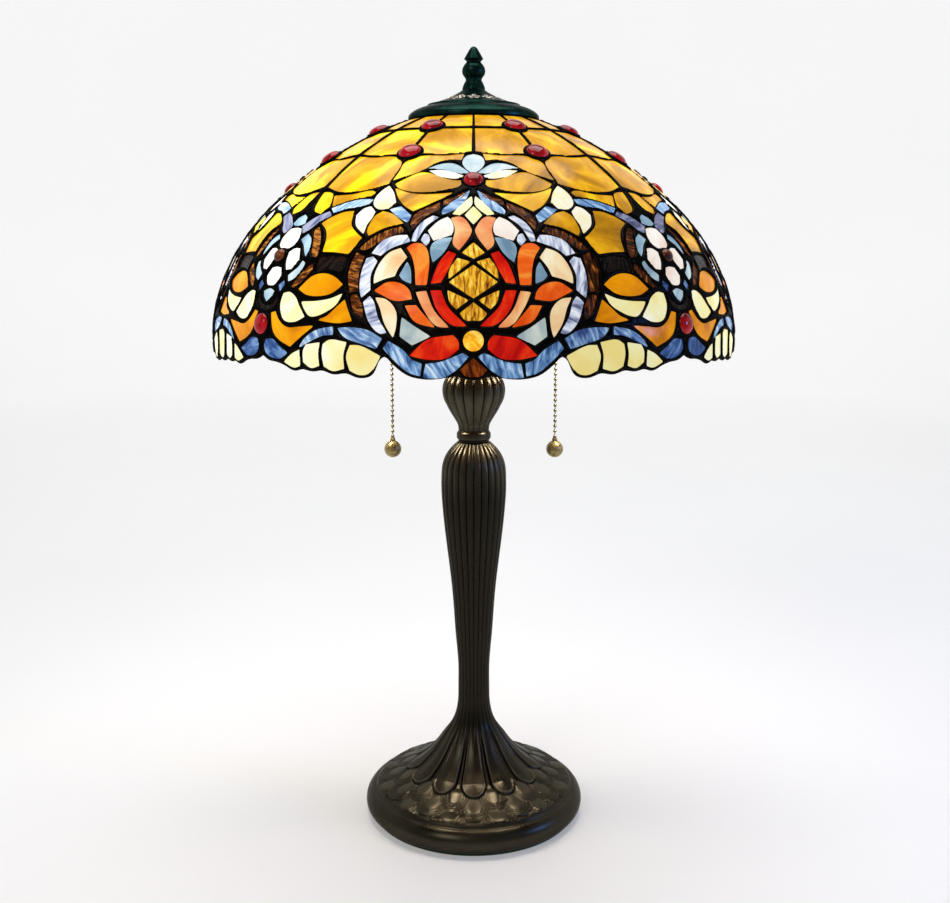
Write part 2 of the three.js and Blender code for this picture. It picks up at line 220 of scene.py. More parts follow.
# ---------------------------------------------------------------- meshes
def make_object(name, verts, faces, materials, smooth=True, slots=None, parts=None):
    """An object from points in mm. slots gives each face's material."""
    mesh = bpy.data.meshes.new(name)
    mesh.from_pydata((np.asarray(verts) * MM).tolist(), [], [list(f) for f in faces])
    for material in materials:
        mesh.materials.append(material)
    if slots is not None:
        mesh.polygons.foreach_set("material_index", slots)
    mesh.polygons.foreach_set("use_smooth", [smooth] * len(mesh.polygons))
    if parts:
        for key, values in parts.items():
            mesh.attributes.new(key, "FLOAT", "POINT").data.foreach_set("value", values)
    mesh.update()
    obj = bpy.data.objects.new(name, mesh)
    bpy.context.scene.collection.objects.link(obj)
    return obj


def revolve(profile, segments, closed, push=None):
    """Points in rows round Z, and their faces.

    push is how far the first rows' points go out along the profile's normal.
    """
    p = np.array(profile, float)
    angle = np.arange(segments) * 2 * math.pi / segments
    r, z = (np.repeat(p[:, i : i + 1], segments, axis=1) for i in (0, 1))
    if push is not None:
        rows = len(push)
        along = np.gradient(p[:rows], axis=0)
        along /= np.hypot(along[:, 0], along[:, 1])[:, None]
        r[:rows] += along[:, 1:] * push
        z[:rows] -= along[:, :1] * push
    verts = np.stack([r * np.sin(angle), -r * np.cos(angle), z], axis=2).reshape(-1, 3)
    rows = len(p)
    clockwise = (p[:, 0] * np.roll(p[:, 1], -1) - np.roll(p[:, 0], -1) * p[:, 1]).sum() < 0
    faces = []
    for i in range(rows if closed else rows - 1):
        a, b = i * segments, ((i + 1) % rows) * segments
        for k in range(segments):
            m = (k + 1) % segments
            face = (a + k, a + m, b + m, b + k)
            faces.append(face[::-1] if clockwise else face)
    return verts, faces


def turned(profile, segments, closed=True):
    """Points and faces of a body of revolution about Z, from (radius, height) points in mm.

    A closed profile is a ring. An open one starts and ends on the axis.
    """
    return tidy(*revolve(profile, segments, closed))


def tidy(verts, faces):
    """Joins points that lie together, and drops what that leaves of faces without area."""
    key = np.round(np.asarray(verts) * 2e4).astype(np.int64)
    _, first, where = np.unique(key, axis=0, return_index=True, return_inverse=True)
    where = where.reshape(-1)
    kept = []
    for face in faces:
        ring = [where[v] for v in face]
        ring = [v for i, v in enumerate(ring) if v != ring[i - 1]]
        if len(ring) > 2:
            kept.append(ring)
    return np.asarray(verts)[first], kept


def joined(pieces):
    """Several (points, faces) as one."""
    verts, faces, start = [], [], 0
    for v, f in pieces:
        verts.append(np.asarray(v))
        faces += [[start + i for i in face] for face in f]
        start += len(v)
    return np.vstack(verts), faces


def placed(shape, matrix):
    """(points, faces) moved by a matrix whose shift is in mm."""
    verts, faces = shape
    m = np.array(matrix)
    return np.asarray(verts) @ m[:3, :3].T + m[:3, 3], faces


def tube_along(line, radius, sides, closed=False):
    """A round tube along a line of points in space."""
    p = np.array(line, float)
    if closed:
        ahead = np.roll(p, -1, axis=0) - np.roll(p, 1, axis=0)
    else:
        ahead = np.gradient(p, axis=0)
    ahead /= np.linalg.norm(ahead, axis=1)[:, None]
    up = np.cross(ahead, [0.0, 0.0, 1.0])
    up[np.linalg.norm(up, axis=1) < 1e-6] = [1.0, 0.0, 0.0]
    up /= np.linalg.norm(up, axis=1)[:, None]
    side = np.cross(ahead, up)
    turn = np.arange(sides) * 2 * math.pi / sides
    ring = up[:, None] * np.cos(turn)[None, :, None] + side[:, None] * np.sin(turn)[None, :, None]
    verts = (p[:, None] + ring * radius).reshape(-1, 3)
    faces = []
    rows = len(p)
    for i in range(rows if closed else rows - 1):
        a, b = i * sides, ((i + 1) % rows) * sides
        for k in range(sides):
            m = (k + 1) % sides
            faces.append((a + k, a + m, b + m, b + k))
    if not closed:
        faces.append(tuple(reversed(range(sides))))
        faces.append(tuple((rows - 1) * sides + k for k in range(sides)))
    return verts, faces


def ball(radius, centre=(0, 0, 0), segments=24):
    turn = np.linspace(-math.pi / 2, math.pi / 2, segments // 2 + 1)
    verts, faces = turned(np.column_stack([radius * np.cos(turn), radius * np.sin(turn)]), segments,
                          closed=False)
    return verts + np.array(centre, float), faces


# ---------------------------------------------------------------- materials
def srgb(text):
    """A linear colour from six hexadecimal digits."""
    levels = [int(text[i : i + 2], 16) / 255 for i in (0, 2, 4)]
    return [v / 12.92 if v < 0.04045 else ((v + 0.055) / 1.055) ** 2.4 for v in levels] + [1.0]


class Nodes:
    """A material's node tree, with short ways to add and link nodes."""

    def __init__(self, name):
        self.material = bpy.data.materials.new(name)
        self.material.use_nodes = True
        self.tree = self.material.node_tree
        self.shader = self.tree.nodes["Principled BSDF"]

    def add(self, kind, **settings):
        node = self.tree.nodes.new(kind)
        for key, value in settings.items():
            setattr(node, key, value)
        return node

    def link(self, out, into):
        self.tree.links.new(out, into)

    def set(self, **values):
        for key, value in values.items():
            self.shader.inputs[key.replace("_", " ")].default_value = value

    def spot(self, source="Object", scale=(1, 1, 1)):
        """Coordinates, stretched by scale."""
        place = self.add("ShaderNodeTexCoord")
        stretch = self.add("ShaderNodeMapping")
        stretch.inputs["Scale"].default_value = scale
        self.link(place.outputs[source], stretch.inputs["Vector"])
        return stretch.outputs["Vector"]

    def noise(self, where, scale, detail=3.0, rough=0.5, distort=0.0):
        node = self.add("ShaderNodeTexNoise")
        node.inputs["Scale"].default_value = scale
        node.inputs["Detail"].default_value = detail
        node.inputs["Roughness"].default_value = rough
        node.inputs["Distortion"].default_value = distort
        self.link(where, node.inputs["Vector"])
        return node.outputs["Fac"]

    def ramp(self, value, stops):
        node = self.add("ShaderNodeValToRGB")
        marks = node.color_ramp.elements
        while len(marks) < len(stops):
            marks.new(0.5)
        for mark, (at, colour) in zip(marks, stops):
            mark.position = at
            mark.color = colour
        self.link(value, node.inputs["Fac"])
        return node.outputs["Color"]

    def span(self, value, low_out, high_out, low_in=0.3, high_in=0.7):
        node = self.add("ShaderNodeMapRange")
        node.inputs["From Min"].default_value = low_in
        node.inputs["From Max"].default_value = high_in
        node.inputs["To Min"].default_value = low_out
        node.inputs["To Max"].default_value = high_out
        self.link(value, node.inputs["Value"])
        return node.outputs["Result"]

    def plus(self, first, second):
        node = self.add("ShaderNodeMath", operation="ADD")
        self.link(first, node.inputs[0])
        self.link(second, node.inputs[1])
        return node.outputs["Value"]

    def times(self, colour, factor):
        node = self.add("ShaderNodeVectorMath", operation="MULTIPLY")
        self.link(colour, node.inputs[0])
        self.link(factor, node.inputs[1])
        return node.outputs["Vector"]

    def scaled(self, colour, factor):
        node = self.add("ShaderNodeVectorMath", operation="SCALE")
        node.inputs["Scale"].default_value = factor
        self.link(colour, node.inputs[0])
        return node.outputs["Vector"]

    def part(self, name):
        node = self.add("ShaderNodeAttribute", attribute_name=name)
        return node.outputs["Fac"]

    def bump(self, value, strength, distance=0.0005):
        node = self.add("ShaderNodeBump")
        node.inputs["Strength"].default_value = strength
        node.inputs["Distance"].default_value = distance
        self.link(value, node.inputs["Height"])
        self.link(node.outputs["Normal"], self.shader.inputs["Normal"])


def glass_material(name, colours, stretch=1.6, scale=40, ripple=0.0):
    """Glass whose light from behind is painted in as emission: streaks of the colours, from the densest to
    the clearest.

    Where the painted glow is stronger, the streaks turn towards the clear colours.
    """
    n = Nodes(name)
    painted_glow = n.part("painted_glow")
    streaks = n.noise(n.spot("UV", (1, stretch, 1)), scale, 4.0, 0.55, 0.6)
    gap = 0.36 / (len(colours) - 1)
    stops = [(0.32 + gap * i, srgb(c)) for i, c in enumerate(colours)]
    colour = n.ramp(n.plus(streaks, n.span(painted_glow, -0.06, 0.14, 0.75, 1.5)), stops)
    n.link(n.scaled(colour, 0.06), n.shader.inputs["Base Color"])
    # the light through the glass is painted in as emission, scaled by the painted glow
    n.link(n.times(colour, painted_glow), n.shader.inputs["Emission Color"])
    n.set(Emission_Strength=0.97, Roughness=0.18, Specular_IOR_Level=0.1)
    if ripple:
        n.bump(streaks, 0.9, ripple * MM)
    else:
        n.bump(n.noise(n.spot("UV"), 35, 3.0), 0.35, 0.6 * MM)
    return n.material


GLASS = {
    "amber": glass_material("amber_opal_glass", ["966414", "b68014", "d49616", "f2b41a", "ffe418"], 1.8,
                            22),
    "honey": glass_material("honey_glass", ["c07004", "ea9206", "fdb008"], 1.6, 26),
    "cream": glass_material("cream_glass", ["fce890", "fffabc", "ffffe6"], 1.4, 26),
    "peach": glass_material("peach_glass", ["f6c088", "fde4b4", "fffce0"], 1.6, 30),
    "white": glass_material("white_opal_glass", ["f2dccc", "fcf4ea", "fffffa"], 1.4, 36),
    "drop": glass_material("ivory_glass", ["f8e294", "fdf4cc", "fffefa"], 1.4, 36),
    "ice": glass_material("streaky_white_glass", ["6a6c8c", "b0bcd8", "e4eaf6", "ffffff"], 4, 70),
    "sky": glass_material("sky_glass", ["809cae", "aac6d4", "d8e6ea"], 1.8, 30),
    "slate": glass_material("slate_glass", ["6c8ca4", "90b0c6", "b8d6ea"], 1.8, 30),
    "grey": glass_material("grey_glass", ["9eb2b8", "ced8d2", "eeead4"], 1.8, 30),
    "blue": glass_material("streaky_blue_glass", ["2e4c7c", "6088bc", "94bee8", "e6f4fe"], 4, 75),
    "dusk": glass_material("dusk_blue_glass", ["34487e", "5e7eb2", "90b4da", "d8ecf8"], 4, 75),
    "deep": glass_material("deep_blue_glass", ["142c60", "365894", "7ca0d0"], 3, 60),
    "lavender": glass_material("lavender_glass", ["2c3254", "666c90", "a4aac6"], 3, 70),
    "salmon": glass_material("salmon_glass", ["e8703c", "f6a468", "fddc9e"], 1.8, 30),
    "flame": glass_material("flame_glass", ["e04a0c", "f66a1e", "fe9c3c"], 2.5, 36),
    "red": glass_material("red_glass", ["b80a0e", "e6240e", "fc5a1a"], 2.5, 32),
    "gold_ripple": glass_material("gold_ripple_glass", ["5a2a06", "d08a1a", "ffc430", "fff27c"], 4, 110,
                                  1.4),
    "brown_ripple": glass_material("brown_ripple_glass", ["0a0402", "301606", "68300c", "c07c2c"], 4, 110,
                                   1.4),
    "russet_ripple": glass_material("russet_ripple_glass", ["1c0802", "6c2c08", "b45a12"], 4, 110, 1.4),
    "dark_ripple": glass_material("dark_ripple_glass", ["020101", "0a0604", "24120a"], 4, 90, 1.4),
}


def jewel_material(name, deep, middle, light, painted_glow_strength=0.6):
    n = Nodes(name)
    clouds = n.noise(n.spot("UV"), 110, 3.0, 0.6, 0.8)
    colour = n.ramp(clouds, [(0.32, srgb(deep)), (0.5, srgb(middle)), (0.66, srgb(light))])
    n.link(n.scaled(colour, 0.15), n.shader.inputs["Base Color"])
    # the jewel's light from behind is painted in as emission, scaled by the painted glow
    n.link(n.times(colour, n.part("painted_glow")), n.shader.inputs["Emission Color"])
    n.set(Emission_Strength=painted_glow_strength, Roughness=0.06, Specular_IOR_Level=0.3)
    return n.material


JEWEL = {
    "red": jewel_material("red_jewel", "64020a", "a80614", "cc1220"),
    "amber": jewel_material("amber_jewel", "c87006", "ffb818", "fff080", 1.15),
    "brown": jewel_material("brown_jewel", "2c1004", "5a2a0c", "8a4a18"),
}


HOLLOW = 0.22  # how pale a hollow is painted, as a share of the darkest colour: painted shade in the hollows


def mottled_material(name, dark, light, rough, scale, metal, bump, part=None, edge=1.0):
    """A mottled surface, metal or not. part names an attribute, 0 in hollows painted dark as shade and 1 on
    high places painted light as wear and highlight.

    edge is how bright the surface turns where it's seen edge on.
    """
    n = Nodes(name)
    mottle = n.noise(n.spot(), scale, 5.0, 0.6)
    colour = n.ramp(mottle, [(0.3, srgb(dark)), (0.75, srgb(light))])
    if part:
        # painted shade and light: hollows are mixed towards a painted dark, high places keep the full colour
        wear_and_painted_light = n.add("ShaderNodeMix", data_type="RGBA")
        wear_and_painted_light.inputs["A"].default_value = [v * HOLLOW for v in srgb(dark)[:3]] + [1.0]
        n.link(colour, wear_and_painted_light.inputs["B"])
        n.link(n.part(part), wear_and_painted_light.inputs["Factor"])
        colour = wear_and_painted_light.outputs["Result"]
    n.link(colour, n.shader.inputs["Base Color"])
    n.link(n.span(mottle, rough * 0.8, rough * 1.25), n.shader.inputs["Roughness"])
    n.set(Metallic=metal, Specular_Tint=(edge, edge, edge, 1.0))
    n.bump(n.noise(n.spot(), scale * 6, 2.0), bump, 0.1 * MM)
    return n.material


# (name, darkest and lightest colour, roughness, grains to a metre, metal, bump)
BRONZE = mottled_material("dark_bronze", "4b4639", "645d4e", 0.31, 40, 1.0, 0.01, part="wear_and_painted_light", edge=0.6)
LEAD = mottled_material("blackened_lead", "0a0908", "1c1a18", 0.3, 220, 0.9, 0.5, edge=0.15)
PATINA = mottled_material("green_patina", "0a2420", "1c3c34", 0.3, 120, 0.9, 0.2, edge=0.4)
BRASS = mottled_material("antique_brass", "7a5a2a", "c09a56", 0.28, 150, 1.0, 0.1)
CHAIN_BRASS = mottled_material("dull_brass", "857a5c", "b8ab88", 0.24, 200, 1.0, 0.1)
BALL_BRASS = mottled_material("aged_brass", "8c7a4c", "b8a46e", 0.4, 90, 0.75, 0.08)
STEEL = mottled_material("zinc_steel", "8c8c8a", "b8b8b4", 0.3, 200, 1.0, 0.1)
IRON = mottled_material("cast_iron", "242426", "3c3c3e", 0.7, 300, 0.8, 0.6)
PORCELAIN = mottled_material("glazed_porcelain", "d8d2c4", "efeade", 0.18, 40, 0.0, 0.05)
LINING = mottled_material("pale_lining", "cfc8b8", "e8e2d4", 0.5, 60, 0.0, 0.1)
RUBBER = mottled_material("black_rubber", "0e0c0b", "1c1a18", 0.7, 400, 0.0, 0.3)
FELT = mottled_material("green_felt", "14200f", "2c3d22", 0.95, 1500, 0.0, 0.9)


def bulb_material():
    n = Nodes("lit_frosted_bulb")
    haze = n.noise(n.spot(), 30, 2.0)
    colour = n.ramp(haze, [(0.3, srgb("ffeeda")), (0.7, srgb("fff8ee"))])
    n.link(colour, n.shader.inputs["Base Color"])
    n.link(colour, n.shader.inputs["Emission Color"])
    n.set(Emission_Strength=60.0, Roughness=0.5)
    return n.material


BULB = bulb_material()


# ---------------------------------------------------------------- the shade's pattern
def crown():
    """Plain amber glass in rows, between the crown and the flowers."""
    return [
        ("amber", (1.3, 5), (21.2, 5), (21.3, 23.3), (18, 25.5), (15.8, 29.5), (15.2, 33.2), (1.2, 33.2)),
        ("amber", (43.8, 5), (23.8, 5), (23.7, 23.3), (27, 25.5), (29.2, 29.5), (29.8, 33.2), (43.8, 33)),
        ("amber", (1, 37), (15.7, 37), (17.8, 41), (21.4, 43.8), (21.5, 65), (19, 68.5), (17.7, 75),
         (17.7, 76.8), (9, 77.2), (1, 75)),
        ("amber", (44, 36.5), (29.3, 37), (27.2, 41), (23.6, 43.8), (23.5, 65), (26, 68.5), (27.3, 75),
         (27.3, 76.8), (36, 77), (44, 74)),
        ("amber", (22, 88), (20.3, 84), (17.6, 80.2), (9, 79.8), (3.3, 77.7), (4, 86), (8.3, 85.8),
         (12.5, 91), (14.9, 97.3), (20, 105.3), (22.5, 108.3), (22, 98)),
        ("amber", (44.1, 77.3), (36, 79.9), (27.6, 80), (25, 84), (23.4, 88), (23.5, 112), (27.5, 116.3),
         (33, 119), (38, 118.4), (44.2, 112.8)),
    ]


def top_flower():
    return [
        ("sky", (0, 78.3), (2.2, 80.8), (3.2, 89), (1.8, 97), (0, 101.5)),
        ("sky", (13.4, 95.5), (9.5, 90.4), (6.2, 90.3), (3.1, 96), (0.9, 102.2), (4, 101.2), (9, 96.8)),
        ("drop", (12.8, 98.3), (9, 98), (5.3, 101.2), (2.3, 105), (5, 107), (9, 104.6)),
        ("amber", (21.2, 112), (18.5, 105.8), (15, 100.3), (12.4, 101.3), (9, 105.6), (6.3, 108.6),
         (2.8, 109.6), (3.8, 115), (7, 118.3), (11, 120.7), (15.8, 120), (19.8, 116)),
        ("amber", (20.5, 117), (17, 121.2), (13, 123.2), (8, 122.7), (5.2, 121.8), (7.5, 126.5),
         (10.5, 132), (13.8, 138.3), (16.3, 133.5), (18.6, 126)),
    ]


def petals():
    """What lies between the two motifs: the white drops and the amber round them."""
    return [
        ("drop", (22.9, 114.3), (20.8, 121), (19.1, 130.5), (20.3, 136), (22.8, 136), (24.8, 130.5),
         (24.9, 124), (24, 118)),
        ("drop", (23.5, 139), (25.3, 134), (26.8, 136), (28, 141.5), (27, 149.5), (24.4, 156.6),
         (24.3, 150), (23.7, 144)),
        ("amber", (21.4, 138.6), (18.9, 141), (15.7, 148.8), (19.5, 152), (22.8, 158.3), (23.5, 155),
         (23.4, 148), (22.8, 142)),
        ("blue", (19.7, 136.8), (17.4, 134.3), (14.3, 142.5), (14.7, 147.8), (17, 143.5)),
        ("blue", (25.5, 127.5), (28.8, 127.3), (32.7, 130), (36.6, 134.9), (35, 139.2), (31.7, 135.3),
         (27.8, 133.5), (25.9, 131.5)),
        ("lavender", (35.5, 141.6), (36.9, 137.9), (40.3, 143), (43, 150.5), (41.6, 156.5), (39.8, 153.3),
         (38, 147)),
        ("amber", (44, 118.8), (41.5, 119.5), (39.9, 121.5), (38.5, 128.5), (37.9, 134), (39.4, 139.5),
         (42.3, 136), (43.5, 127)),
        ("amber", (38.6, 123), (33, 122.2), (26.9, 119.2), (25.9, 121), (26.4, 124), (30.5, 126),
         (34, 129.4), (36.8, 133)),
        ("amber", (37, 148), (35.2, 143.5), (32.1, 139), (29.4, 138), (29.1, 142), (28.4, 150),
         (26.3, 156.5), (24.5, 160.5), (25.3, 166), (26.4, 172.3), (30, 171), (33, 170.8), (33.4, 161),
         (34.7, 153.5)),
        ("dark_ripple", (33.2, 176), (29.5, 174.6), (26.5, 175.5), (26.4, 180), (27, 185), (30, 183.6),
         (33.2, 186.2)),
    ]


def cartouche():
    """The two bands round the lotus: ripple glass outside, white and blue inside."""
    return [
        ("brown_ripple", (1.8, 120.6), (4, 124.8), (7, 129.2), (7, 133.3), (5, 130.2), (2.9, 125.6)),
        ("brown_ripple", (8, 131.2), (11, 136), (13.2, 141.5), (13.8, 148), (13.2, 153.5), (11.9, 147),
         (10.2, 141.2), (8.2, 137)),
        ("brown_ripple", (14.9, 155.4), (16, 151.8), (19, 155), (22, 161.3), (24, 168.8), (22.6, 169.3),
         (20, 163.3), (17.5, 158.5)),
        ("brown_ripple", (24.4, 171.8), (22.6, 174.3), (22.9, 186), (22.5, 198.3), (24, 199), (25, 188),
         (24.9, 178)),
        ("brown_ripple", (23.7, 202), (22.5, 201.2), (21.1, 209), (20.8, 216), (22.5, 212)),
        ("blue", (1, 119.6), (3.2, 126.3), (5.9, 133.5), (7.1, 138.4), (6.9, 141.1), (4.3, 137),
         (2.2, 129.3)),
        ("ice", (9.1, 142.7), (7.9, 143.9), (10.3, 151), (11.2, 156.7), (12, 163), (12.8, 162.5),
         (12.6, 156.5), (11, 147.2)),
        ("ice", (10.3, 157.3), (9.5, 158.5), (9.2, 163), (9.7, 166.1), (10.8, 162)),
        ("ice", (14.2, 158.5), (13.3, 163), (14.7, 164.7), (17.3, 168.7), (18.9, 173.5), (20.9, 171.8),
         (19.1, 162.7), (16.4, 159)),
        ("ice", (21.8, 176.2), (20.6, 174.9), (19.5, 178), (20.3, 187.5), (19.9, 197.7), (21.4, 202.5),
         (22, 196), (22.2, 185)),
        ("ice", (20.8, 206), (19.7, 202.3), (18.9, 205.5), (17.8, 215.4), (16, 225), (17, 225.4),
         (19.1, 219.2)),
        ("blue", (16.3, 235), (15.4, 230.8), (12.8, 236), (11, 242), (9.4, 244.4), (9.6, 251.6),
         (11.5, 249.7), (14.2, 242.3)),
        ("blue", (8.4, 244.6), (5.9, 243.3), (1.9, 237.7), (1, 239.5), (3.2, 247.7), (5.4, 252),
         (8.9, 252.5)),
        ("russet_ripple", (0, 241), (2.3, 248), (1.3, 251.3), (0, 251.7)),
    ]


def lotus():
    return [
        ("cream", (0.5, 125.5), (0.5, 132.7), (1.5, 137.3), (3.2, 142), (4.6, 141), (2.8, 132.7)),
        ("cream", (0, 134.7), (1.8, 142), (0, 149.3)),
        ("white", (9.6, 154.8), (7.5, 147), (5.8, 143.9), (5, 146.6), (4.4, 155), (4.7, 158), (8.2, 162.2)),
        ("salmon", (4.8, 144.6), (3.1, 143.6), (2, 145.6), (0.8, 151.8), (0.5, 154.5), (0.9, 159),
         (2.9, 169.3), (4, 165.3), (3.8, 153.8)),
        ("slate", (8.6, 169.2), (8.3, 165), (7, 161.8), (4.5, 160.3), (6.1, 171.6), (7.9, 178)),
        ("flame", (13.5, 168), (12.5, 165.2), (10.6, 165.5), (9.5, 169.5), (8.8, 178.8), (8.9, 193.7),
         (10.8, 193.7), (11.3, 182.7), (12.2, 174)),
        ("red", (5, 170.8), (3.6, 172.6), (5.1, 184.3), (6.2, 192), (7.9, 192.8), (6.6, 179)),
        ("red", (7.9, 198), (6.1, 198), (4.9, 207.7), (1.4, 220.2), (3.8, 219.3), (6.4, 210.6)),
        ("salmon", (10.6, 199.2), (8.9, 198.4), (7.3, 210.6), (4.6, 221), (6.6, 219.9), (9, 209.8)),
        ("flame", (12.5, 208), (10.6, 207.8), (9.4, 212.5), (7.1, 221), (10.6, 217.3)),
        ("peach", (19.2, 193), (19.3, 187.5), (18.6, 179), (17.1, 171.8), (15, 168.6), (13.4, 175),
         (14.8, 182.7), (15.3, 188), (17.3, 190)),
        ("slate", (14.2, 187.5), (13.1, 178.8), (12.4, 183), (11.9, 192.8), (13.5, 190.2)),
        ("flame", (18.8, 198), (16.4, 192.8), (13.6, 194), (12.1, 198.2), (11.5, 203.2), (14.6, 204.2),
         (17.3, 200.5)),
        ("peach", (18.4, 203), (16.4, 204.3), (14.4, 211.5), (14.2, 221), (14.6, 227.5), (16.2, 219.2),
         (17.4, 208.7)),
        ("grey", (13, 215.8), (11, 220.5), (7.9, 227), (11, 232.2), (13.2, 227)),
        ("red", (11.3, 239), (8.1, 229.4), (3.7, 226.5), (2.8, 230), (2.7, 234.6), (4.8, 240), (8.1, 241)),
        ("gold_ripple", (0, 164.4), (2.1, 171.5), (0, 175.5)),
        ("gold_ripple", (0, 180.7), (4.4, 192), (0, 202.3)),
        ("gold_ripple", (3.1, 175.8), (0.8, 178.2), (4.6, 189.3), (4.4, 183)),
        ("gold_ripple", (4.7, 198), (1.1, 204), (3.1, 209.2), (4.2, 205)),
        ("gold_ripple", (0, 205.8), (2.3, 212.5), (1.4, 216.2), (0, 216.4)),
    ]


def shells():
    """The row of cream shells along the rim, under a blue strip."""
    return [
        ("dusk", (25.6, 223.2), (23, 222.8), (19.5, 224.3), (16.8, 229), (17.8, 235), (20.4, 232.4),
         (24.4, 227.7)),
        ("dusk", (26.8, 222.6), (26.7, 227), (29, 228), (32, 232.5), (34.2, 236.2), (33.2, 231.5),
         (30.5, 225.4)),
        ("cream", (23.6, 241), (22.9, 234), (21, 234.2), (17.1, 240), (19.3, 250.8), (21.1, 252),
         (23, 249.6)),
        ("cream", (28.7, 234), (27.4, 231.3), (23.8, 232.2), (24.4, 240), (24.3, 248.6), (26.7, 250.3),
         (28.5, 247.8), (28.9, 240)),
        ("cream", (33.3, 239), (32.7, 235), (29.6, 233.2), (29.9, 240), (29.7, 247.6), (31.6, 249.2),
         (33.3, 246)),
        ("cream", (38.2, 247), (36.2, 241.7), (34.3, 238.7), (34.2, 248.5), (35.7, 249.8)),
    ]


def blossom():
    return [
        ("slate", (45, 140.5), (43.4, 143.6), (42.8, 147.8), (43.8, 149.4), (45, 149.6)),
        ("white", (45, 152.2), (43, 153), (42, 160), (42.4, 165.8), (43.6, 168.1), (45, 168.2)),
        ("white", (43, 171.7), (41.5, 169), (40, 169.2), (38.9, 177.5), (40, 183.7), (41.7, 184.5),
         (42.6, 178.8)),
        ("white", (45, 183.2), (43.5, 184), (42.7, 189.5), (43.8, 195.2), (45, 195.9)),
        ("slate", (40.9, 161.5), (39.7, 157.4), (38, 161.5), (37.1, 170.2), (37.2, 174.8), (38.1, 171.5),
         (39.3, 165.8)),
        ("sky", (36.8, 180), (37.7, 178.4), (38.3, 182.7), (40.4, 188.8), (39.9, 192.8), (38.5, 190.6),
         (37.2, 184.6)),
        ("sky", (45, 199), (43.3, 200.7), (43.7, 203.5), (45, 207.5)),
        ("deep", (42.4, 196), (41.2, 193), (40.8, 196), (41.6, 200)),
        ("brown_ripple", (38.1, 154), (37.3, 151.6), (36, 156.8), (35, 163), (34.3, 170.5), (34.3, 175),
         (35.5, 173.6), (36.7, 164.4)),
        ("brown_ripple", (34.5, 180), (34.2, 184.3), (35.9, 192), (37.9, 197), (38.5, 196.5), (37.7, 191.5),
         (36, 184.6)),
        ("dark_ripple", (45, 210.6), (43.2, 208.8), (41.9, 204), (41.7, 207), (43, 211.6), (45, 212.9)),
        ("cream", (40.5, 208.7), (40.3, 201.8), (38.8, 200.9), (36.7, 204.4), (35.2, 210.6), (33.7, 216.5),
         (36, 219.8), (38.8, 219), (40, 214)),
        ("cream", (34.8, 207), (31.2, 206.3), (28, 204.3), (25.7, 201), (26.7, 207.7), (28.6, 212.3),
         (30.7, 215.3), (32.3, 215.6), (33.8, 211.5)),
        ("honey", (36.3, 198), (33.4, 189), (30.6, 187.4), (28, 190), (26, 194.6), (28, 199.9),
         (30.2, 201.9), (33.9, 201.5)),
        ("honey", (30, 218.2), (28.3, 215.8), (26.7, 210.8), (24.9, 205), (24.2, 210), (23, 218),
         (25.6, 219.4)),
        ("honey", (42.8, 215.3), (41.6, 214.4), (40.1, 220.5), (37.9, 224.4), (34.6, 223.7), (31.4, 222.6),
         (34.1, 229.4), (36.7, 236.3), (40, 231.7), (41.5, 227.4)),
        ("deep", (44.1, 237), (43.6, 233.4), (41.6, 233), (39.7, 236.9), (37.5, 241), (39.5, 244.6),
         (41.6, 244.5), (43.6, 241.5)),
    ]


RIM = [
    (0, 253.2), (1.5, 252.4), (2.9, 250.8), (4.4, 251.4), (6.6, 252.7), (9, 252.9), (11.8, 250.8),
    (14.4, 244.4), (15.7, 240), (16.4, 239.3), (17.3, 241.2), (19.1, 251.7), (21.3, 253.4), (24, 250.9),
    (26.7, 251.9), (29.2, 249.9), (31.6, 250.9), (33.9, 249.9), (36, 251.3), (38.4, 248.4), (40.5, 246.7),
    (43, 245.8), (45, 242.8),
]

# (kind, degrees, mm down the dome, diameter)
JEWELS = [
    ("red", 22.5, 33, 16.5),
    ("red", 22.5, 75.5, 16.5),
    ("red", 0, 110, 13.5),
    ("amber", 0, 229.7, 13.5),
    ("brown", 45, 175.2, 10),
    ("red", 45, 223, 15),
]

PATTERN = crown() + top_flower() + petals() + cartouche() + lotus() + shells() + blossom()


def is_on(value, line):
    return abs(value - line) < 1e-6


def whole_outline(points):
    """(the closed outline on the flat map, the axis in degrees that it's mirrored about, or None)."""
    for axis in (0.0, 45.0):
        if is_on(points[0][0], axis) and is_on(points[-1][0], axis):
            back = [(2 * axis - a, down) for a, down in points[-2:0:-1]]
            return flat(list(points) + back), axis
    return flat(points), None


def sampled(points, step=1.2):
    outline, axis = whole_outline(points)
    size = radius_at(np.mean([p[1] for p in points]))
    return widened(smooth_line(outline, step / size, closed=True), LEAD_TRIM / size), axis


def half_of(outline, axis):
    """The part of a mirrored outline that lies in the eighth, as a closed outline."""
    edge = math.radians(axis)
    inward = 1 if axis == 0 else -1
    kept = (outline[:, 0] - edge) * inward > -1e-7
    start = next(i for i in range(len(kept)) if kept[i] and not kept[i - 1])
    ring = np.roll(outline, -start, axis=0)
    half = ring[: kept.sum()].copy()
    half[0, 0] = edge
    half[-1, 0] = edge
    return half


def circle(degrees, down, radius, points=32):
    """A circle's outline on the flat map, starting straight below its middle."""
    turn = np.arange(points) * 2 * math.pi / points
    ring = np.column_stack([np.sin(turn), np.cos(turn)])
    return flat([(degrees, down)]) + ring * radius / radius_at(down)


def rim_flat(step=1.5):
    return smooth_line(flat(RIM), step / SHADE_R, corner=80)


# ---------------------------------------------------------------- lead between the glass
LEAD_HIGH = 1.1
LEAD_ROUND = 1.6  # how far in from its edge the lead is rounded
TOP_DOWN = 1.5  # where the lead starts, down the dome
PATTERN_END = 256  # below the lowest point of the rim
GRID_ACROSS = 1.05
GRID_DOWN = 0.95
GRID_CLEAR = 0.35  # how far the grid's points keep from the glass


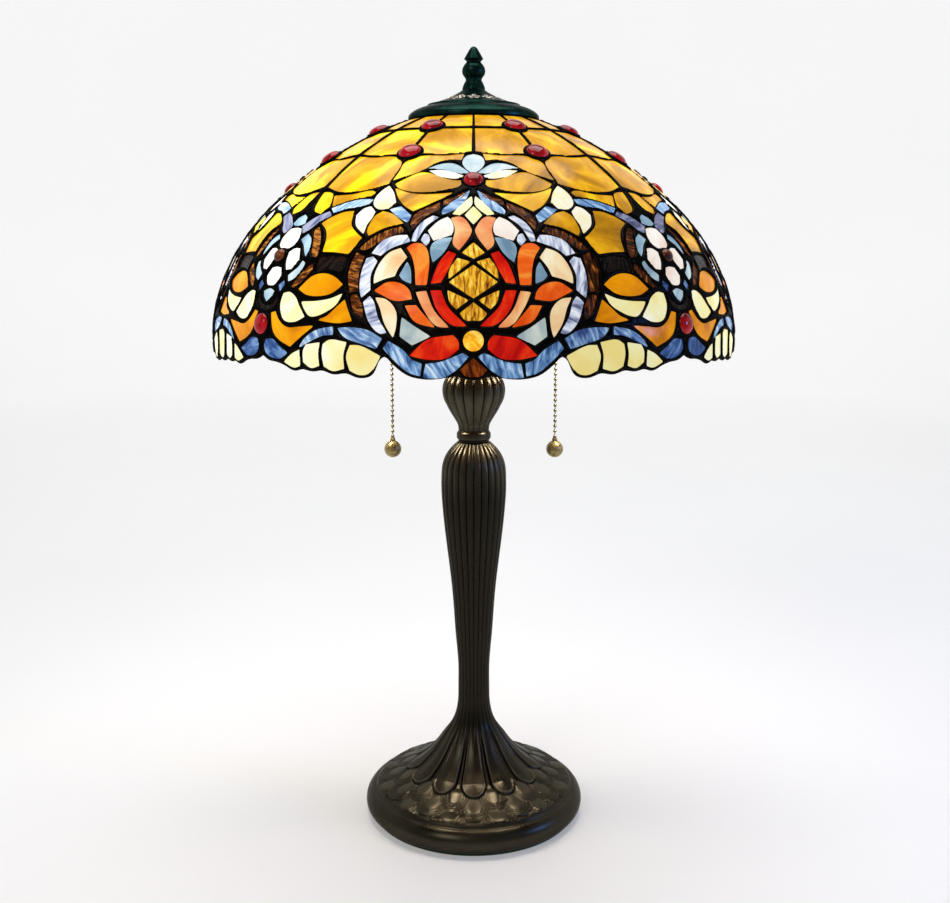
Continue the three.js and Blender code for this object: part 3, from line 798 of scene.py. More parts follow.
def lead_holes():
    """Closed outlines, within the eighth, of the glass and the jewels that the lead leaves room for."""
    holes = []
    for _, *points in PATTERN:
        outline, axis = sampled(points)
        holes.append(outline if axis is None else half_of(outline, axis))
    for _, degrees, down, diameter in JEWELS:
        ring = circle(degrees, down, diameter / 2 - COLLAR_GRIP)
        holes.append(half_of(ring, degrees) if degrees in (0, 45) else ring)
    return holes


def lead_border():
    """The eighth's own outline, from the middle of a lotus along the rim and back along the crown."""
    top = flat([(0, TOP_DOWN)])[0, 1]
    across = np.linspace(EIGHTH, 0, 40)
    return np.vstack([rim_flat(), np.column_stack([across, np.full(40, top)])])


def lead_grid(border, holes):
    """Points spread over the eighth's lead."""
    rows = []
    down = TOP_DOWN + 0.6
    odd = 0
    while down < PATTERN_END:
        step = GRID_ACROSS / radius_at(down)
        level = np.interp(down, DOWN, FLAT)
        angle = np.arange(step * (0.5 + 0.5 * odd), EIGHTH - step * 0.4, step)
        rows.append(np.column_stack([angle, np.full(len(angle), level)]))
        if odd:
            rows.append(np.array([(0.0, level), (EIGHTH, level)]))
        down += GRID_DOWN
        odd = 1 - odd
    grid = np.vstack(rows)
    grid = grid[in_outline(grid, border) | (grid[:, 0] == 0) | (grid[:, 0] == EIGHTH)]
    for hole in holes:
        box = (grid >= hole.min(0) - 1e-9).all(1) & (grid <= hole.max(0) + 1e-9).all(1)
        near = np.where(box)[0]
        drop = near[in_outline(grid[near] + [1e-7, 0], hole) | in_outline(grid[near] - [1e-7, 0], hole)]
        grid = np.delete(grid, drop, axis=0)
    return grid


def scale_at(points):
    """Millimetres to a unit of the flat map, at its points."""
    return radius_at(np.interp(points[:, 1], FLAT, DOWN))


def lead_cells():
    """The lead of an eighth: flat points, triangles, and each point's distance in mm from its edge."""
    holes = lead_holes()
    border = lead_border()
    rings = [border] + holes
    lines = np.vstack([sides_of(ring) for ring in rings])
    on_axis = (np.abs(lines[:, :, 0]).max(1) < 1e-9) | (np.abs(lines[:, :, 0] - EIGHTH).max(1) < 1e-9)
    edges = lines[~on_axis]
    grid = lead_grid(border, holes)
    gap = distance_to(grid, edges) * scale_at(grid)
    grid = grid[(gap > GRID_CLEAR) & (grid[:, 1] < border[:, 1].max())]
    found, triangles = filled(rings, grid, 1e-5)
    middle = found[triangles].mean(1)
    keep = in_outline(middle, border)
    for hole in holes:
        keep &= ~in_outline(middle, hole)
    used, where = np.unique(triangles[keep], return_inverse=True)
    found = found[used]
    for axis in (0, EIGHTH):
        found[np.abs(found[:, 0] - axis) < 2e-6, 0] = axis
    return found, where.reshape(-1, 3), distance_to(found, edges) * scale_at(found)


def lead_quarter(cells, quarter):
    """A quarter of the lead but the rim's bead, as one closed mesh with rounded beads outside and inside."""
    points, triangles, gap = cells
    verts, faces = [], []
    for mirror in (1, -1):
        moved = points.copy()
        moved[:, 0] = quarter * math.pi / 2 + mirror * points[:, 0]
        order = (0, 1, 2) if mirror > 0 else (0, 2, 1)
        faces.append(triangles[:, order] + len(points) * len(verts))
        verts.append(moved)
    flat_points, gap = np.vstack(verts), np.concatenate([gap, gap])
    key = np.round(flat_points * 5e4).astype(np.int64)
    _, first, where = np.unique(key, axis=0, return_index=True, return_inverse=True)
    faces = where.reshape(-1)[np.vstack(faces)]
    a, b, c = faces.T
    faces = faces[(a != b) & (b != c) & (a != c)]
    flat_points, gap = flat_points[first], gap[first]

    share = (gap / LEAD_ROUND).clip(0, 1)
    bead = LEAD_HIGH * np.sqrt(1 - (1 - share) ** 2)
    surface = on_dome(flat_points, np.zeros(len(flat_points)))
    hand = np.array([noise.noise(Vector(p) * 0.12) + 0.5 * noise.noise(Vector(p) * 0.4) for p in surface])
    bead *= 1 + 0.3 * hand
    return shell(on_dome(flat_points, bead), on_dome(flat_points, -GLASS_THICK - GLASS_SUNK * 2 - bead),
                 faces)


# ---------------------------------------------------------------- glass
# painted glow on the shade, as if from the bulbs: (side, strength, mm to the right and to the back that its
# glow is thrown); the left one's is thrown forwards
PAINTED_GLOW_SPOTS = (("left", 0.68, 35, -60), ("right", 0.68, 0, 45))
REACH = 0.077  # metres, softens the fall of the painted glow
INSIDE_SHARE = 0.45  # of the painted glow that the inside of a pane shows


def painted_glow_at(points):
    """How brightly glow is painted on the shade at points in mm, strongest near the bulbs."""
    p = np.asarray(points) * MM
    total = np.zeros(len(p))
    for side, strength, right, back in PAINTED_GLOW_SPOTS:
        node = f"{side}_bulb_glass"
        centre = (low(node) + high(node)) / 2 + [right, back, -10]
        total += strength / (((p - centre * MM) ** 2).sum(1) + REACH**2)
    return (total / 36) ** 0.6


PANE_GRID = 4.5
PANE_GRID_CLEAR = 1.8
PANE_CROWN = 0.35  # how far a pane swells in its middle


def glass_piece(outline, seed, spread):
    """(points, faces, uv in metres, painted glow) of a pane that fills an outline of the flat map.

    Its streaks run down the shade, to within spread either way.
    """
    size = radius_at(np.interp(outline[:, 1].mean(), FLAT, DOWN))
    ring = widened(outline, GLASS_UNDER_LEAD / size)
    step = PANE_GRID / size
    lo, hi = ring.min(0) + step / 2, ring.max(0)
    grid = np.array([(x, y) for x in np.arange(lo[0], hi[0], step) for y in np.arange(lo[1], hi[1], step)])
    grid = grid.reshape(-1, 2)
    grid = grid[in_outline(grid, ring)]
    grid = grid[distance_to(grid, sides_of(ring)) * size > PANE_GRID_CLEAR]
    found, triangles = filled([ring], grid, 1e-6)
    triangles = triangles[in_outline(found[triangles].mean(1), ring)]
    gap = distance_to(found, sides_of(ring)) * size
    crowned = PANE_CROWN * (gap / 4).clip(0, 1) ** 0.7
    inner = np.full(len(found), -GLASS_SUNK - GLASS_THICK)
    verts, faces = shell(on_dome(found, crowned - GLASS_SUNK), on_dome(found, inner), triangles)
    dice = random.Random(seed)
    turn = math.pi / 2 + dice.uniform(-spread, spread)
    c, s = math.cos(turn), math.sin(turn)
    shift = np.array([dice.uniform(0, 9), dice.uniform(0, 9)])
    uv = (found - outline.mean(0)) * size * MM @ np.array([[c, -s], [s, c]]) + shift
    # painted glow: strongest near the bulbs, dimmer on the pane's inside
    painted_glow = painted_glow_at(verts) * np.repeat([1, INSIDE_SHARE], len(found))
    return verts, faces, np.vstack([uv, uv]), painted_glow


COLLAR_GRIP = 0.5  # how far a jewel's collar reaches in over its edge


def jewel_shape(diameter):
    """A domed glass button with its back inside the shade, about Z."""
    radius = diameter / 2
    turn = np.linspace(0, math.pi / 2, 12)
    dome = np.column_stack([radius * np.cos(turn) ** 0.8, 4.6 * np.sin(turn)])
    back = [(0, -GLASS_THICK), (radius * 0.8, -GLASS_THICK), (radius, -1.2)]
    return turned(np.vstack([back, dome]), 48, closed=False)


def jewel_collar(diameter):
    """The lead that grips a jewel, about Z."""
    radius = diameter / 2
    ring = [(-COLLAR_GRIP, -0.8), (1.5, -0.8), (1.5, 0.3), (1.0, 1.3), (0.2, 1.7), (-COLLAR_GRIP, 1.3)]
    return turned(smooth_line(np.array(ring) + [radius, 0], 0.5, closed=True, corner=80), 56)


def dome_matrix(degrees, down):
    """The matrix that sets a shape made about Z on the dome's surface, pointing out."""
    spot = flat([(degrees, down)])
    base = on_dome(spot, np.zeros(1))[0]
    out = on_dome(spot, np.ones(1))[0] - base
    turn = Vector((0, 0, 1)).rotation_difference(Vector(out)).to_matrix().to_4x4()
    return Matrix.Translation(Vector(base)) @ turn


def copies(axis, degrees):
    """The turned and mirrored copies of a place in the eighth: (quarter turn, mirror)."""
    mirrors = (1,) if axis is not None or is_on(degrees, 0) or is_on(degrees, 45) else (1, -1)
    return [(quarter, mirror) for quarter in range(4) for mirror in mirrors]


def panel_of(degrees):
    """The CAD panel that a place round the shade belongs to."""
    eighth = int(((degrees + 22.499) % 360) // 45)
    return f"{'lotus' if eighth % 2 == 0 else 'blossom'}_panel_{eighth // 2 + 1}"


def build_panels():
    """One object for each CAD panel, with its glass, jewels and the jewels' collars."""
    shapes = {}
    seed = 0
    for kind, *points in PATTERN:
        outline, axis = sampled(points)
        middle = math.degrees(outline[:, 0].mean())
        spread = 0.15 if kind in ("gold_ripple", "russet_ripple") else math.pi / 2
        for quarter, mirror in copies(axis, middle):
            moved = outline * [mirror, 1] + [quarter * math.pi / 2, 0]
            if mirror < 0:
                moved = moved[::-1]
            seed += 1
            name = panel_of(math.degrees(moved[:, 0].mean()))
            shapes.setdefault(name, []).append((GLASS[kind], *glass_piece(moved, seed, spread)))
    for kind, degrees, down, diameter in JEWELS:
        for quarter, mirror in copies(None, degrees):
            turn = quarter * 90 + mirror * degrees
            matrix = dome_matrix(turn, down)
            name = panel_of(turn)
            for material, shape in ((JEWEL[kind], jewel_shape(diameter)), (LEAD, jewel_collar(diameter))):
                verts, faces = placed(shape, matrix)
                seed += 1
                uv = shape[0][:, :2] * MM + random.Random(seed).uniform(0, 9)
                # painted shading: each jewel's glow is painted brighter at its lower side and darker at its
                # top
                lens = 1 - 0.5 * (verts[:, 2] - verts[:, 2].mean()) / diameter
                shapes.setdefault(name, []).append((material, verts, faces, uv, painted_glow_at(verts) * lens))
    for name, pieces in shapes.items():
        materials = list(dict.fromkeys(material for material, *_ in pieces))
        verts, faces = joined([(v, f) for _, v, f, *_ in pieces])
        slots = [materials.index(m) for m, _, f, *_ in pieces for _ in f]
        uv = np.vstack([u for *_, u, _ in pieces])
        painted_glow = np.concatenate([g for *_, g in pieces])
        obj = make_object(f"{name}_glass", verts, faces, materials, True, slots, {"painted_glow": painted_glow})
        layer = obj.data.uv_layers.new(name="pane")
        corner = np.zeros(len(obj.data.loops), int)
        obj.data.loops.foreach_get("vertex_index", corner)
        layer.data.foreach_set("uv", uv[corner].ravel())
        obj.data.set_sharp_from_angle(angle=math.radians(50))
        finish_piece(obj, "shade", "art_glass", name)


def finish_piece(obj, body, slot, *nodes):
    """Puts a finished piece on its body, in place of its CAD nodes; slot is not used."""
    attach(obj, body)
    if nodes:
        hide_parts(*nodes)
    return obj


def solid(name, shape, material, body, slot, *nodes, sharp=40):
    """A piece of one material, from (points, faces)."""
    obj = make_object(name, *shape, [material])
    obj.data.set_sharp_from_angle(angle=math.radians(sharp))
    return finish_piece(obj, body, slot, *nodes)


def build_shade():
    build_panels()
    cells = lead_cells()
    for quarter in range(4):
        seams = [f"seam_came_{(2 * quarter - 1) % 8 + 1}", f"seam_came_{2 * quarter + 1}"]
        solid(f"lead_network_{quarter + 1}", lead_quarter(cells, quarter), LEAD, "shade", "lead", *seams,
              sharp=60)
    eighth = rim_flat(2.0)
    ring = []
    for quarter in range(4):
        ring += [(quarter * math.pi / 2 + a, t) for a, t in eighth[:-1]]
        ring += [(quarter * math.pi / 2 + math.pi / 2 - a, t) for a, t in eighth[:0:-1]]
    ring = np.array(ring)
    bead = tube_along(on_dome(ring, np.full(len(ring), -GLASS_THICK / 2 - GLASS_SUNK)), 1.3, 12,
                      closed=True)
    solid("rim_bead", bead, LEAD, "shade", "lead", "rim_came")
    top = high("shade_crown_ring")[2]
    crown_ring = smooth_line(
        [(41, top - 5), (47.4, top - 5), (48, top - 4.4), (48, top - 0.6), (47.4, top), (41.6, top),
         (41, top - 0.6)],
        1.0, closed=True, corner=30)
    solid("crown_ring", turned(crown_ring, 128), BRASS, "shade", "brass", "shade_crown_ring")


# ---------------------------------------------------------------- the cap and the finial
CAP_SEGMENTS = 180


def build_cap():
    base = low("heat_cap")[2]
    cone = smooth_line([(9.2, 21), (12, 19.2), (18.2, 16.1), (27.8, 12.3), (33.6, 10.2)], 0.7)
    bead = smooth_line([(34, 10.1), (34.6, 10.6), (35.5, 10.3), (36, 9.4)], 0.4)
    flare = smooth_line(
        [(36.4, 9), (40, 7.9), (43.4, 6.7), (46.4, 5.2), (48.9, 3.4), (50.3, 1.6), (50.5, -0.7)], 0.7)
    under = [(49.4, -0.7), (48.6, 1.4), (46, 4), (42, 5.8)]
    lining = [(34, 8.6), (28, 10.9), (18, 14.8), (8, 18.8), (3.5, 19.8), (3.5, 21)]
    outside = np.vstack([cone, bead, flare, under])
    verts, faces = turned(np.vstack([outside, lining]) + [0, base], CAP_SEGMENTS)
    slots = [int(i // CAP_SEGMENTS >= len(outside)) for i in range(len(faces))]
    cap = make_object("pierced_cap", verts, faces, [PATINA, LINING], True, slots)
    cut_away(cap, vent_cutters(base), slot=1)
    cap.data.set_sharp_from_angle(angle=math.radians(35))
    finish_piece(cap, "shade", "patina", "heat_cap")


def cut_away(obj, shape, slot=0):
    """Cuts a shape, as (points, faces), out of an object. slot gives the cut faces' material."""
    cutter = make_object("cutter", *shape, list(obj.data.materials), slots=[slot] * len(shape[1]))
    cut = obj.modifiers.new("cut", "BOOLEAN")
    cut.operation = "DIFFERENCE"
    cut.object = cutter
    cut.solver = "EXACT"
    depsgraph = bpy.context.evaluated_depsgraph_get()
    mesh = bpy.data.meshes.new_from_object(obj.evaluated_get(depsgraph))
    obj.modifiers.clear()
    obj.data = mesh
    bpy.data.objects.remove(cutter)


def prism(outline, bottom, top):
    """(points, faces) of a flat outline given height."""
    count = len(outline)
    verts = np.vstack([np.column_stack([outline, np.full(count, z)]) for z in (bottom, top)])
    faces = [tuple(reversed(range(count))), tuple(range(count, 2 * count))]
    faces += [(i, (i + 1) % count, count + (i + 1) % count, count + i) for i in range(count)]
    return verts, faces


VENTS = 12
VENT_R = 22.5


def vent_cutters(base):
    """The vents round the cap: five-leaved flowers, cut straight down."""
    leaf = smooth_line([(0.8, 0), (2, -1.4), (4.2, -1.4), (5.2, 0), (4.2, 1.4), (2, 1.4)], 0.3, closed=True,
                       corner=75)
    shapes = []
    for flower in range(VENTS):
        turn = Matrix.Rotation(flower * 2 * math.pi / VENTS, 4, "Z")
        middle = turn @ Matrix.Translation((0, -VENT_R, base + 14))
        for k in range(5):
            shapes.append(placed(prism(leaf, -10, 10),
                                 middle @ Matrix.Rotation(math.radians(72 * k + 18), 4, "Z")))
    return joined(shapes)


def build_finial():
    profile = smooth_line(
        [(8.8, 0), (8.7, 1.2), (8.1, 3), (7.2, 5), (6.1, 7.3), (6.9, 9.2), (8.4, 11.2), (8.9, 13.4),
         (8.5, 16), (7, 18.6), (5.4, 20.4), (5.9, 21.4), (7.4, 22.6), (6.4, 24.4), (4.7, 27.3), (3.3, 29.6),
         (1.6, 31.5), (0, 32)],
        0.35, corner=60)
    bore = [(0, 15), (3.5, 15), (3.5, 0.4), (3.9, 0)]
    shape = turned(np.vstack([bore, profile]) + [0, low("finial")[2]], 72, closed=False)
    solid("turned_finial", shape, PATINA, "finial", "patina", "finial")


# ---------------------------------------------------------------- the stand
BORE = 5.1  # the radius of the hole that the rod runs through
FLUTES = 26
FLUTE_DEPTH = 0.05  # of the radius
GADROONS = 18
TONGUES = 12


def reeds(angle, count):
    """-1 in the grooves and 0 on the crests of count round reeds."""
    x = np.mod(angle * count / (2 * math.pi), 1.0) * 2 - 1
    return np.sqrt(np.maximum(1 - x**2, 0)) - 1


def fade(value, start, end):
    t = ((value - start) / (end - start)).clip(0, 1)
    return t * t * (3 - 2 * t)


def turned_relief(name, profile, outside, segments, relief, node):
    """A cast bronze body whose outside, the first points of its profile, carries a relief.

    relief(radius, height, angle) gives how high the ornament stands in mm, and its wear and painted light,
    from 0 in hollows painted dark to 1 on high places painted light.
    """
    p = np.asarray(profile, float)
    angle = np.arange(segments) * 2 * math.pi / segments
    lift, wear_and_painted_light = (np.broadcast_to(v, (len(p), segments)) for v in relief(p[:, :1], p[:, 1:], angle[None]))
    verts, faces = revolve(p, segments, True, lift[:outside])
    obj = make_object(name, verts, faces, [BRONZE], parts={"wear_and_painted_light": wear_and_painted_light.ravel()})
    obj.data.set_sharp_from_angle(angle=math.radians(70))
    return finish_piece(obj, "stand", "bronze", node)


def build_column():
    base, top = low("column")[2], high("column")[2]
    outside = smooth_line(
        [(13.05, base), (13, 125), (13.8, 139), (15, 152), (17.8, 191), (20.6, 216.7), (22.2, 229.5),
         (25, 255), (26.4, 275), (26.3, 290), (25.6, 297), (23.6, 303.5), (20.3, 309), (16.5, 313.2),
         (12.8, top)], 1.6)
    inside = [(BORE, top), (BORE, 308), (19, 302), (22, 280), (18, 230), (13, 191), (9, 150), (BORE, 130),
              (BORE, base)]

    def relief(radius, height, angle):
        flute = reeds(angle, FLUTES)
        # painted light and shade: the flutes' grooves are painted dark and their crests lighter, far lighter
        # towards the column's top, as if lit by the bulbs above
        wear_and_painted_light = (1 + flute) * (0.1 + 0.7 * fade(height, top - 50, top - 12))
        return FLUTE_DEPTH * radius * fade(top - height, -1, 3) * flute, wear_and_painted_light

    turned_relief("fluted_column", np.vstack([outside, inside]), len(outside), FLUTES * 16, relief,
                  "column")


def build_knop():
    base, top = low("vase_knop")[2], high("vase_knop")[2]
    outside = smooth_line(
        [(12.3, base), (12.9, 330), (14.9, 334), (17.4, 338), (19.8, 342), (21.8, 346), (23.8, 350),
         (24.9, 354), (25.3, 358), (24.9, 362), (23.5, 366), (20.5, 370.2), (16, 373.8), (11.5, 375.6),
         (10.6, top)], 0.8)
    inside = [(BORE, top), (BORE, 372), (15, 367), (20, 358), (17, 348), (11, 339), (BORE, 334),
              (BORE, base)]

    def relief(radius, height, angle):
        ends = fade(height, base, base + 8) * fade(top - height, 0, 6)
        lobe = reeds(angle, GADROONS)
        # wear and painted light: the gadroons' crests are painted lighter, their grooves darker as shade
        return (0.3 + 1.3 * ends) * lobe * (radius / 25), 0.1 + 0.6 * (1 + lobe)

    turned_relief("gadrooned_knop", np.vstack([outside, inside]), len(outside), GADROONS * 24, relief,
                  "vase_knop")


# (radius of the discs' middles, share of a tongue's pitch off the tongues, lift)
LAPPET_ROWS = ((73.5, 0.5, 0.0), (65, 0.0, 0.5), (57, 0.5, 1.0))
DISC_SHARE = 0.105  # a disc's radius, as a share of its row's
REACH_SHARE = 0.217
TONGUE_END = 46.5
TONGUE_SHARE = 0.4  # of the pitch, on each side of a tongue's middle line
BARS_END = 54  # the radius where the bars between the tongues give way to lappets
ORNAMENT_R = 82  # the radius where the ornament ends
FOOT_SEGMENTS = TONGUES * 50


def lappet(away, disc, reach):
    """A lappet's height at a distance from the middle of its disc: a domed disc inside three ridges."""
    dome = 0.6 + 0.7 * np.sqrt(np.maximum(1 - (away / disc) ** 2, 0))
    ridges = 0.75 * np.abs(np.sin(3 * math.pi * (away - disc) / (reach - disc))) ** 0.7
    return np.where(away < disc, dome, ridges)


def foot_relief(radius, height, angle):
    """The foot's cast ornament: tongues from the stem, over rows of fish-scale lappets."""
    pitch = 2 * math.pi / TONGUES
    total = np.zeros(np.broadcast(radius, angle).shape)
    # wear and painted light: the ornament's high parts are painted lighter, its hollows and the grooves
    # round the tongues darker as shade
    wear_and_painted_light = np.full(total.shape, 0.2)
    for middle, shift, lift in LAPPET_ROWS:
        disc, reach = DISC_SHARE * middle, REACH_SHARE * middle
        across = (np.mod(angle + pitch / 2 - shift * pitch, pitch) - pitch / 2) * radius
        for side in (-1, 0, 1):
            away = np.hypot((radius - middle).clip(0, None), across + side * pitch * radius)
            shape = lappet(away, disc, reach)
            total = np.where(away < reach, lift + shape, total)
            wear_and_painted_light = np.where(away < reach, 0.1 + 0.6 * fade(shape, 0, 1.2), wear_and_painted_light)
    across = np.abs((np.mod(angle + pitch / 2, pitch) - pitch / 2) * radius)
    half = TONGUE_SHARE * pitch
    end = half * TONGUE_END - np.hypot(radius - TONGUE_END, across)
    inside = np.where(radius < TONGUE_END, half * radius - across, end)
    bar = 1.1 + 0.9 * (1 - fade(radius, 20, BARS_END))
    wear_and_painted_light = np.where((radius < BARS_END) & (bar > total * fade(radius, 44, BARS_END)), 0.3, wear_and_painted_light)
    total = np.where(radius < BARS_END, np.maximum(bar, total * fade(radius, 44, BARS_END)), total)
    gap = fade(-inside, 0.2, 1.3)
    total -= 0.9 * (1 - gap)
    wear_and_painted_light = wear_and_painted_light * (0.1 + 0.9 * gap)
    edge = np.sin(math.pi * (inside / 1.8).clip(0, 1))
    spoon = 1.7 + 1.5 * np.sqrt((inside / 10).clip(0, 1))
    total = np.where(inside > 0, spoon + 0.7 * edge, total)
    wear_and_painted_light = np.where(inside > 0, (0.35 + 0.5 * edge) * fade(inside, -0.4, 0.6), wear_and_painted_light)
    stem = fade(radius, 13.2, 27)
    flute = reeds(angle, FLUTES)
    ornament = (height > 24) & (radius < ORNAMENT_R)
    lift = total * fade(ORNAMENT_R - radius, 0.4, 1.8) * stem + FLUTE_DEPTH * radius * flute * (1 - stem)
    wear_and_painted_light = wear_and_painted_light * stem + 0.1 * (1 + flute) * (1 - stem)
    return np.where(ornament, lift, 0.0), np.where(ornament, wear_and_painted_light, 0.35)


def build_foot():
    base, top = low("base_foot")[2], high("base_foot")[2]
    rim = smooth_line(
        [(85.4, base), (88.6, 3.6), (90.9, 6.8), (91.4, 10.5), (90.6, 14.6), (88, 18.6), (84.8, 20.9),
         (83.4, 21.1)],
        1.5, corner=80)
    ring = smooth_line([(82.9, 21.4), (82.2, 23.2), (80.8, 24.1), (70, 27.3), (58, 32), (46, 38.8)], 0.6,
                       corner=80)
    stem = smooth_line(
        [(46, 38.8), (36, 47.6), (28, 57.6), (22, 67.8), (17.4, 77.2), (14.6, 87), (13.3, 96),
         (13.05, top)], 1.4)
    inside = [(BORE, top), (BORE, 62), (19, 60), (37, 41), (59, 27), (60, 22.3), (72, 22.3), (82, 12),
              (83.5, base)]
    outside = np.vstack([rim, ring, stem[1:]])
    profile = np.vstack([outside, inside])
    obj = turned_relief("cast_foot", profile, len(outside), FOOT_SEGMENTS, foot_relief, "base_foot")
    drill_cord_hole(obj)


def drill_cord_hole(obj):
    """Cuts the hole for the cord bushing through the back of the foot."""
    centre = (low("cord_bushing") + high("cord_bushing")) / 2
    radius = (high("cord_bushing")[0] - low("cord_bushing")[0]) / 2 - 2.1
    shape = turned([(0, -14.0), (radius, -14.0), (radius, 14.0), (0, 14.0)], 48, closed=False)
    matrix = Matrix.Translation((centre[0], centre[1], centre[2])) @ Matrix.Rotation(math.pi / 2, 4, "X")
    cut_away(obj, placed(shape, matrix))


def build_stand_rings():
    base, top = low("column_collar")[2], high("column_collar")[2]
    plain_ring("collar", 50, "column_collar", [
        (BORE, base), (12.2, base), (12.7, base + 1.2), (13.6, base + 2.4), (13.8, base + 4.6),
        (13.6, base + 6.8), (12.7, base + 8), (12.2, top), (BORE, top)])
    base, top = low("vase_seat_ring")[2], high("vase_seat_ring")[2]
    plain_ring("seat_ring", 40, "vase_seat_ring", [
        (BORE, base), (13, base), (13.5, base + 0.9), (13.5, top - 0.9), (12.8, top), (BORE, top)])


def plain_ring(name, corner, node, profile):
    """A bronze ring of the stand, its wear and painted light the same all over."""
    verts, faces = turned(smooth_line(profile, 0.5, closed=True, corner=corner), 96)
    obj = make_object(name, verts, faces, [BRONZE], parts={"wear_and_painted_light": [0.6] * len(verts)})
    obj.data.set_sharp_from_angle(angle=math.radians(50))
    finish_piece(obj, "stand", "bronze", node)


def rounded_tube(outer, inner, base, top, edge=0.6):
    """The closed profile of a tube with softened ends."""
    return [(inner, base), (outer - edge, base), (outer, base + edge), (outer, top - edge),
            (outer - edge, top), (inner, top)]


def build_hidden_stand():
    """The tubes, cluster, wheel and small parts above and below."""
    for name, node in (("stem_sleeve", "stem_tube"), ("riser_sleeve", "riser_tube")):
        profile = rounded_tube(high(node)[0], BORE, low(node)[2], high(node)[2])
        solid(name, turned(profile, 64), BRASS, "stand", "brass", node)
    hub = smooth_line(
        [(BORE, -HUB_HALF), (11.4, -HUB_HALF), (12.2, -HUB_HALF + 0.8), (14.2, -9), (15.2, -4.5),
         (15.3, 4.5), (14, 9), (11.6, HUB_HALF - 0.7), (10.8, HUB_HALF), (BORE, HUB_HALF)],
        0.8, closed=True, corner=40)
    arm_end = 33.7
    arm = [(0, 9), (6, 9), (6, 15), (7.6, 16), (7.6, 18), (6.5, 19), (6.5, arm_end), (0, arm_end)]
    shapes = [placed(turned(hub, 96), Matrix.Translation((0, 0, CLUSTER_Z)))]
    for _, sign in SIDES:
        shapes.append(placed(turned(arm, 48, closed=False), socket_matrix(sign)))
    solid("light_cluster", joined(shapes), BRASS, "stand", "brass", "cluster_body")
    felt = [(0, 0), (85.6, 0), (86, 0.4), (86, 1.6), (85.6, 2), (0, 2)]
    solid("felt_disc", turned(felt, 128, closed=False), FELT, "stand", "felt", "felt_pad")
    build_wheel()
    build_bushing()


def build_wheel():
    hub_low, hub_top = low("shade_wheel")[2], high("shade_wheel")[2]
    rim_top = low("shade_crown_ring")[2] - 0.3
    hub = turned(rounded_tube(10, BORE, hub_low, hub_top), 64)
    rim = turned(smooth_line(
        [(39, rim_top - 2.6), (39.6, rim_top - 3.2), (45.9, rim_top - 3.2), (46.5, rim_top - 2.6),
         (46.5, rim_top - 0.6), (45.9, rim_top), (39.6, rim_top), (39, rim_top - 0.6)], 0.6, closed=True,
         corner=30),
        96)
    shapes = [hub, rim]
    for i in range(4):
        turn = math.pi / 4 + i * math.pi / 2
        out = np.array([math.sin(turn), -math.cos(turn), 0])
        side = np.array([math.cos(turn), math.sin(turn), 0])
        line = [out * r + [0, 0, rim_top - 1.6] for r in np.linspace(8, 41, 12)]
        verts, faces = tube_along(line, 1.0, 16)
        across = (verts - np.array(line).repeat(16, axis=0)) @ side
        verts = verts + side * across[:, None] * 2.0
        verts[:, 2] = rim_top - 1.6 + (verts[:, 2] - rim_top + 1.6) * 1.5
        shapes.append((verts, faces))
    solid("spoked_wheel", joined(shapes), BRASS, "stand", "brass", "shade_wheel")


def build_bushing():
    lo, hi = low("cord_bushing"), high("cord_bushing")
    inner_end = lo[1] - hi[1]
    profile = smooth_line(
        [(3.2, inner_end), (4.3, inner_end), (4.3, -2.7), (6.5, -2.7), (6.4, -1.2), (5.6, -0.3), (4.2, 0),
         (3.4, -0.2), (3.2, -0.6)], 0.6, closed=True, corner=40)
    matrix = Matrix.Translation((0, hi[1], (lo[2] + hi[2]) / 2)) @ Matrix.Rotation(-math.pi / 2, 4, "X")
    solid("cord_grommet", placed(turned(profile, 64), matrix), RUBBER, "stand", "bushing_rubber",
          "cord_bushing")


# ---------------------------------------------------------------- sockets, bulbs and pull chains
TILT = math.radians(20)
HUB_HALF = 12  # half the height of the cluster's hub
CLUSTER_Z = low("cluster_body")[2] + HUB_HALF


def socket_matrix(sign):
    """Takes a shape about Z to one that points out along a socket."""
    lay = Matrix.Rotation(math.pi / 2, 4, "Y")
    tilt = Matrix.Rotation(-TILT, 4, "Y")
    turn = Matrix.Rotation(0 if sign > 0 else math.pi, 4, "Z")
    return Matrix.Translation((0, 0, CLUSTER_Z)) @ turn @ tilt @ lay


def guide_matrix(sign, out):
    """Takes a shape about Z to a socket's chain guide, out mm along the socket."""
    tilt = Matrix.Rotation(-TILT, 4, "Y")
    turn = Matrix.Rotation(0 if sign > 0 else math.pi, 4, "Z")
    return Matrix.Translation((0, 0, CLUSTER_Z)) @ turn @ tilt @ Matrix.Translation((out, 0, 0))


CHAIN_OUT = 60.0  # where the chain leaves the socket, out along it
STUB_END = -27.0
CHAIN_PITCH = 4.2
STUB_BEADS = 4
UPPER_BEADS = 11
LOWER_BEADS = 12


def bead_chain(top, beads):
    """Round beads on short links, hanging down Z from top."""
    shapes = []
    for i in range(beads):
        middle = top - (i + 0.5) * CHAIN_PITCH
        shapes.append(ball(1.42, (0, 0, middle), 20))
    link = tube_along([(0, 0, top), (0, 0, top - beads * CHAIN_PITCH + 0.3)], 0.42, 10)
    return joined(shapes + [link])


def chain_end(top, beads):
    """The last beads, the bell that grips them, and the ball."""
    z = top - beads * CHAIN_PITCH
    bell = turned(smooth_line([(0, z + 1.4), (1.5, z + 1.2), (2.1, z), (2.3, z - 1.6), (0, z - 2)], 0.3),
                  32, closed=False)
    return joined([bell, ball(6.9, (0, 0, z - 8.2), 64)])


def on_socket(side, sign, name, profile, material, body, slot, node, segments=64, closed=True):
    """A piece turned about a socket's own axis, from (radius, mm out along the socket) points."""
    shape = placed(turned(profile, segments, closed), socket_matrix(sign))
    return solid(f"{side}_{name}", shape, material, body, slot, f"{side}_{node}")


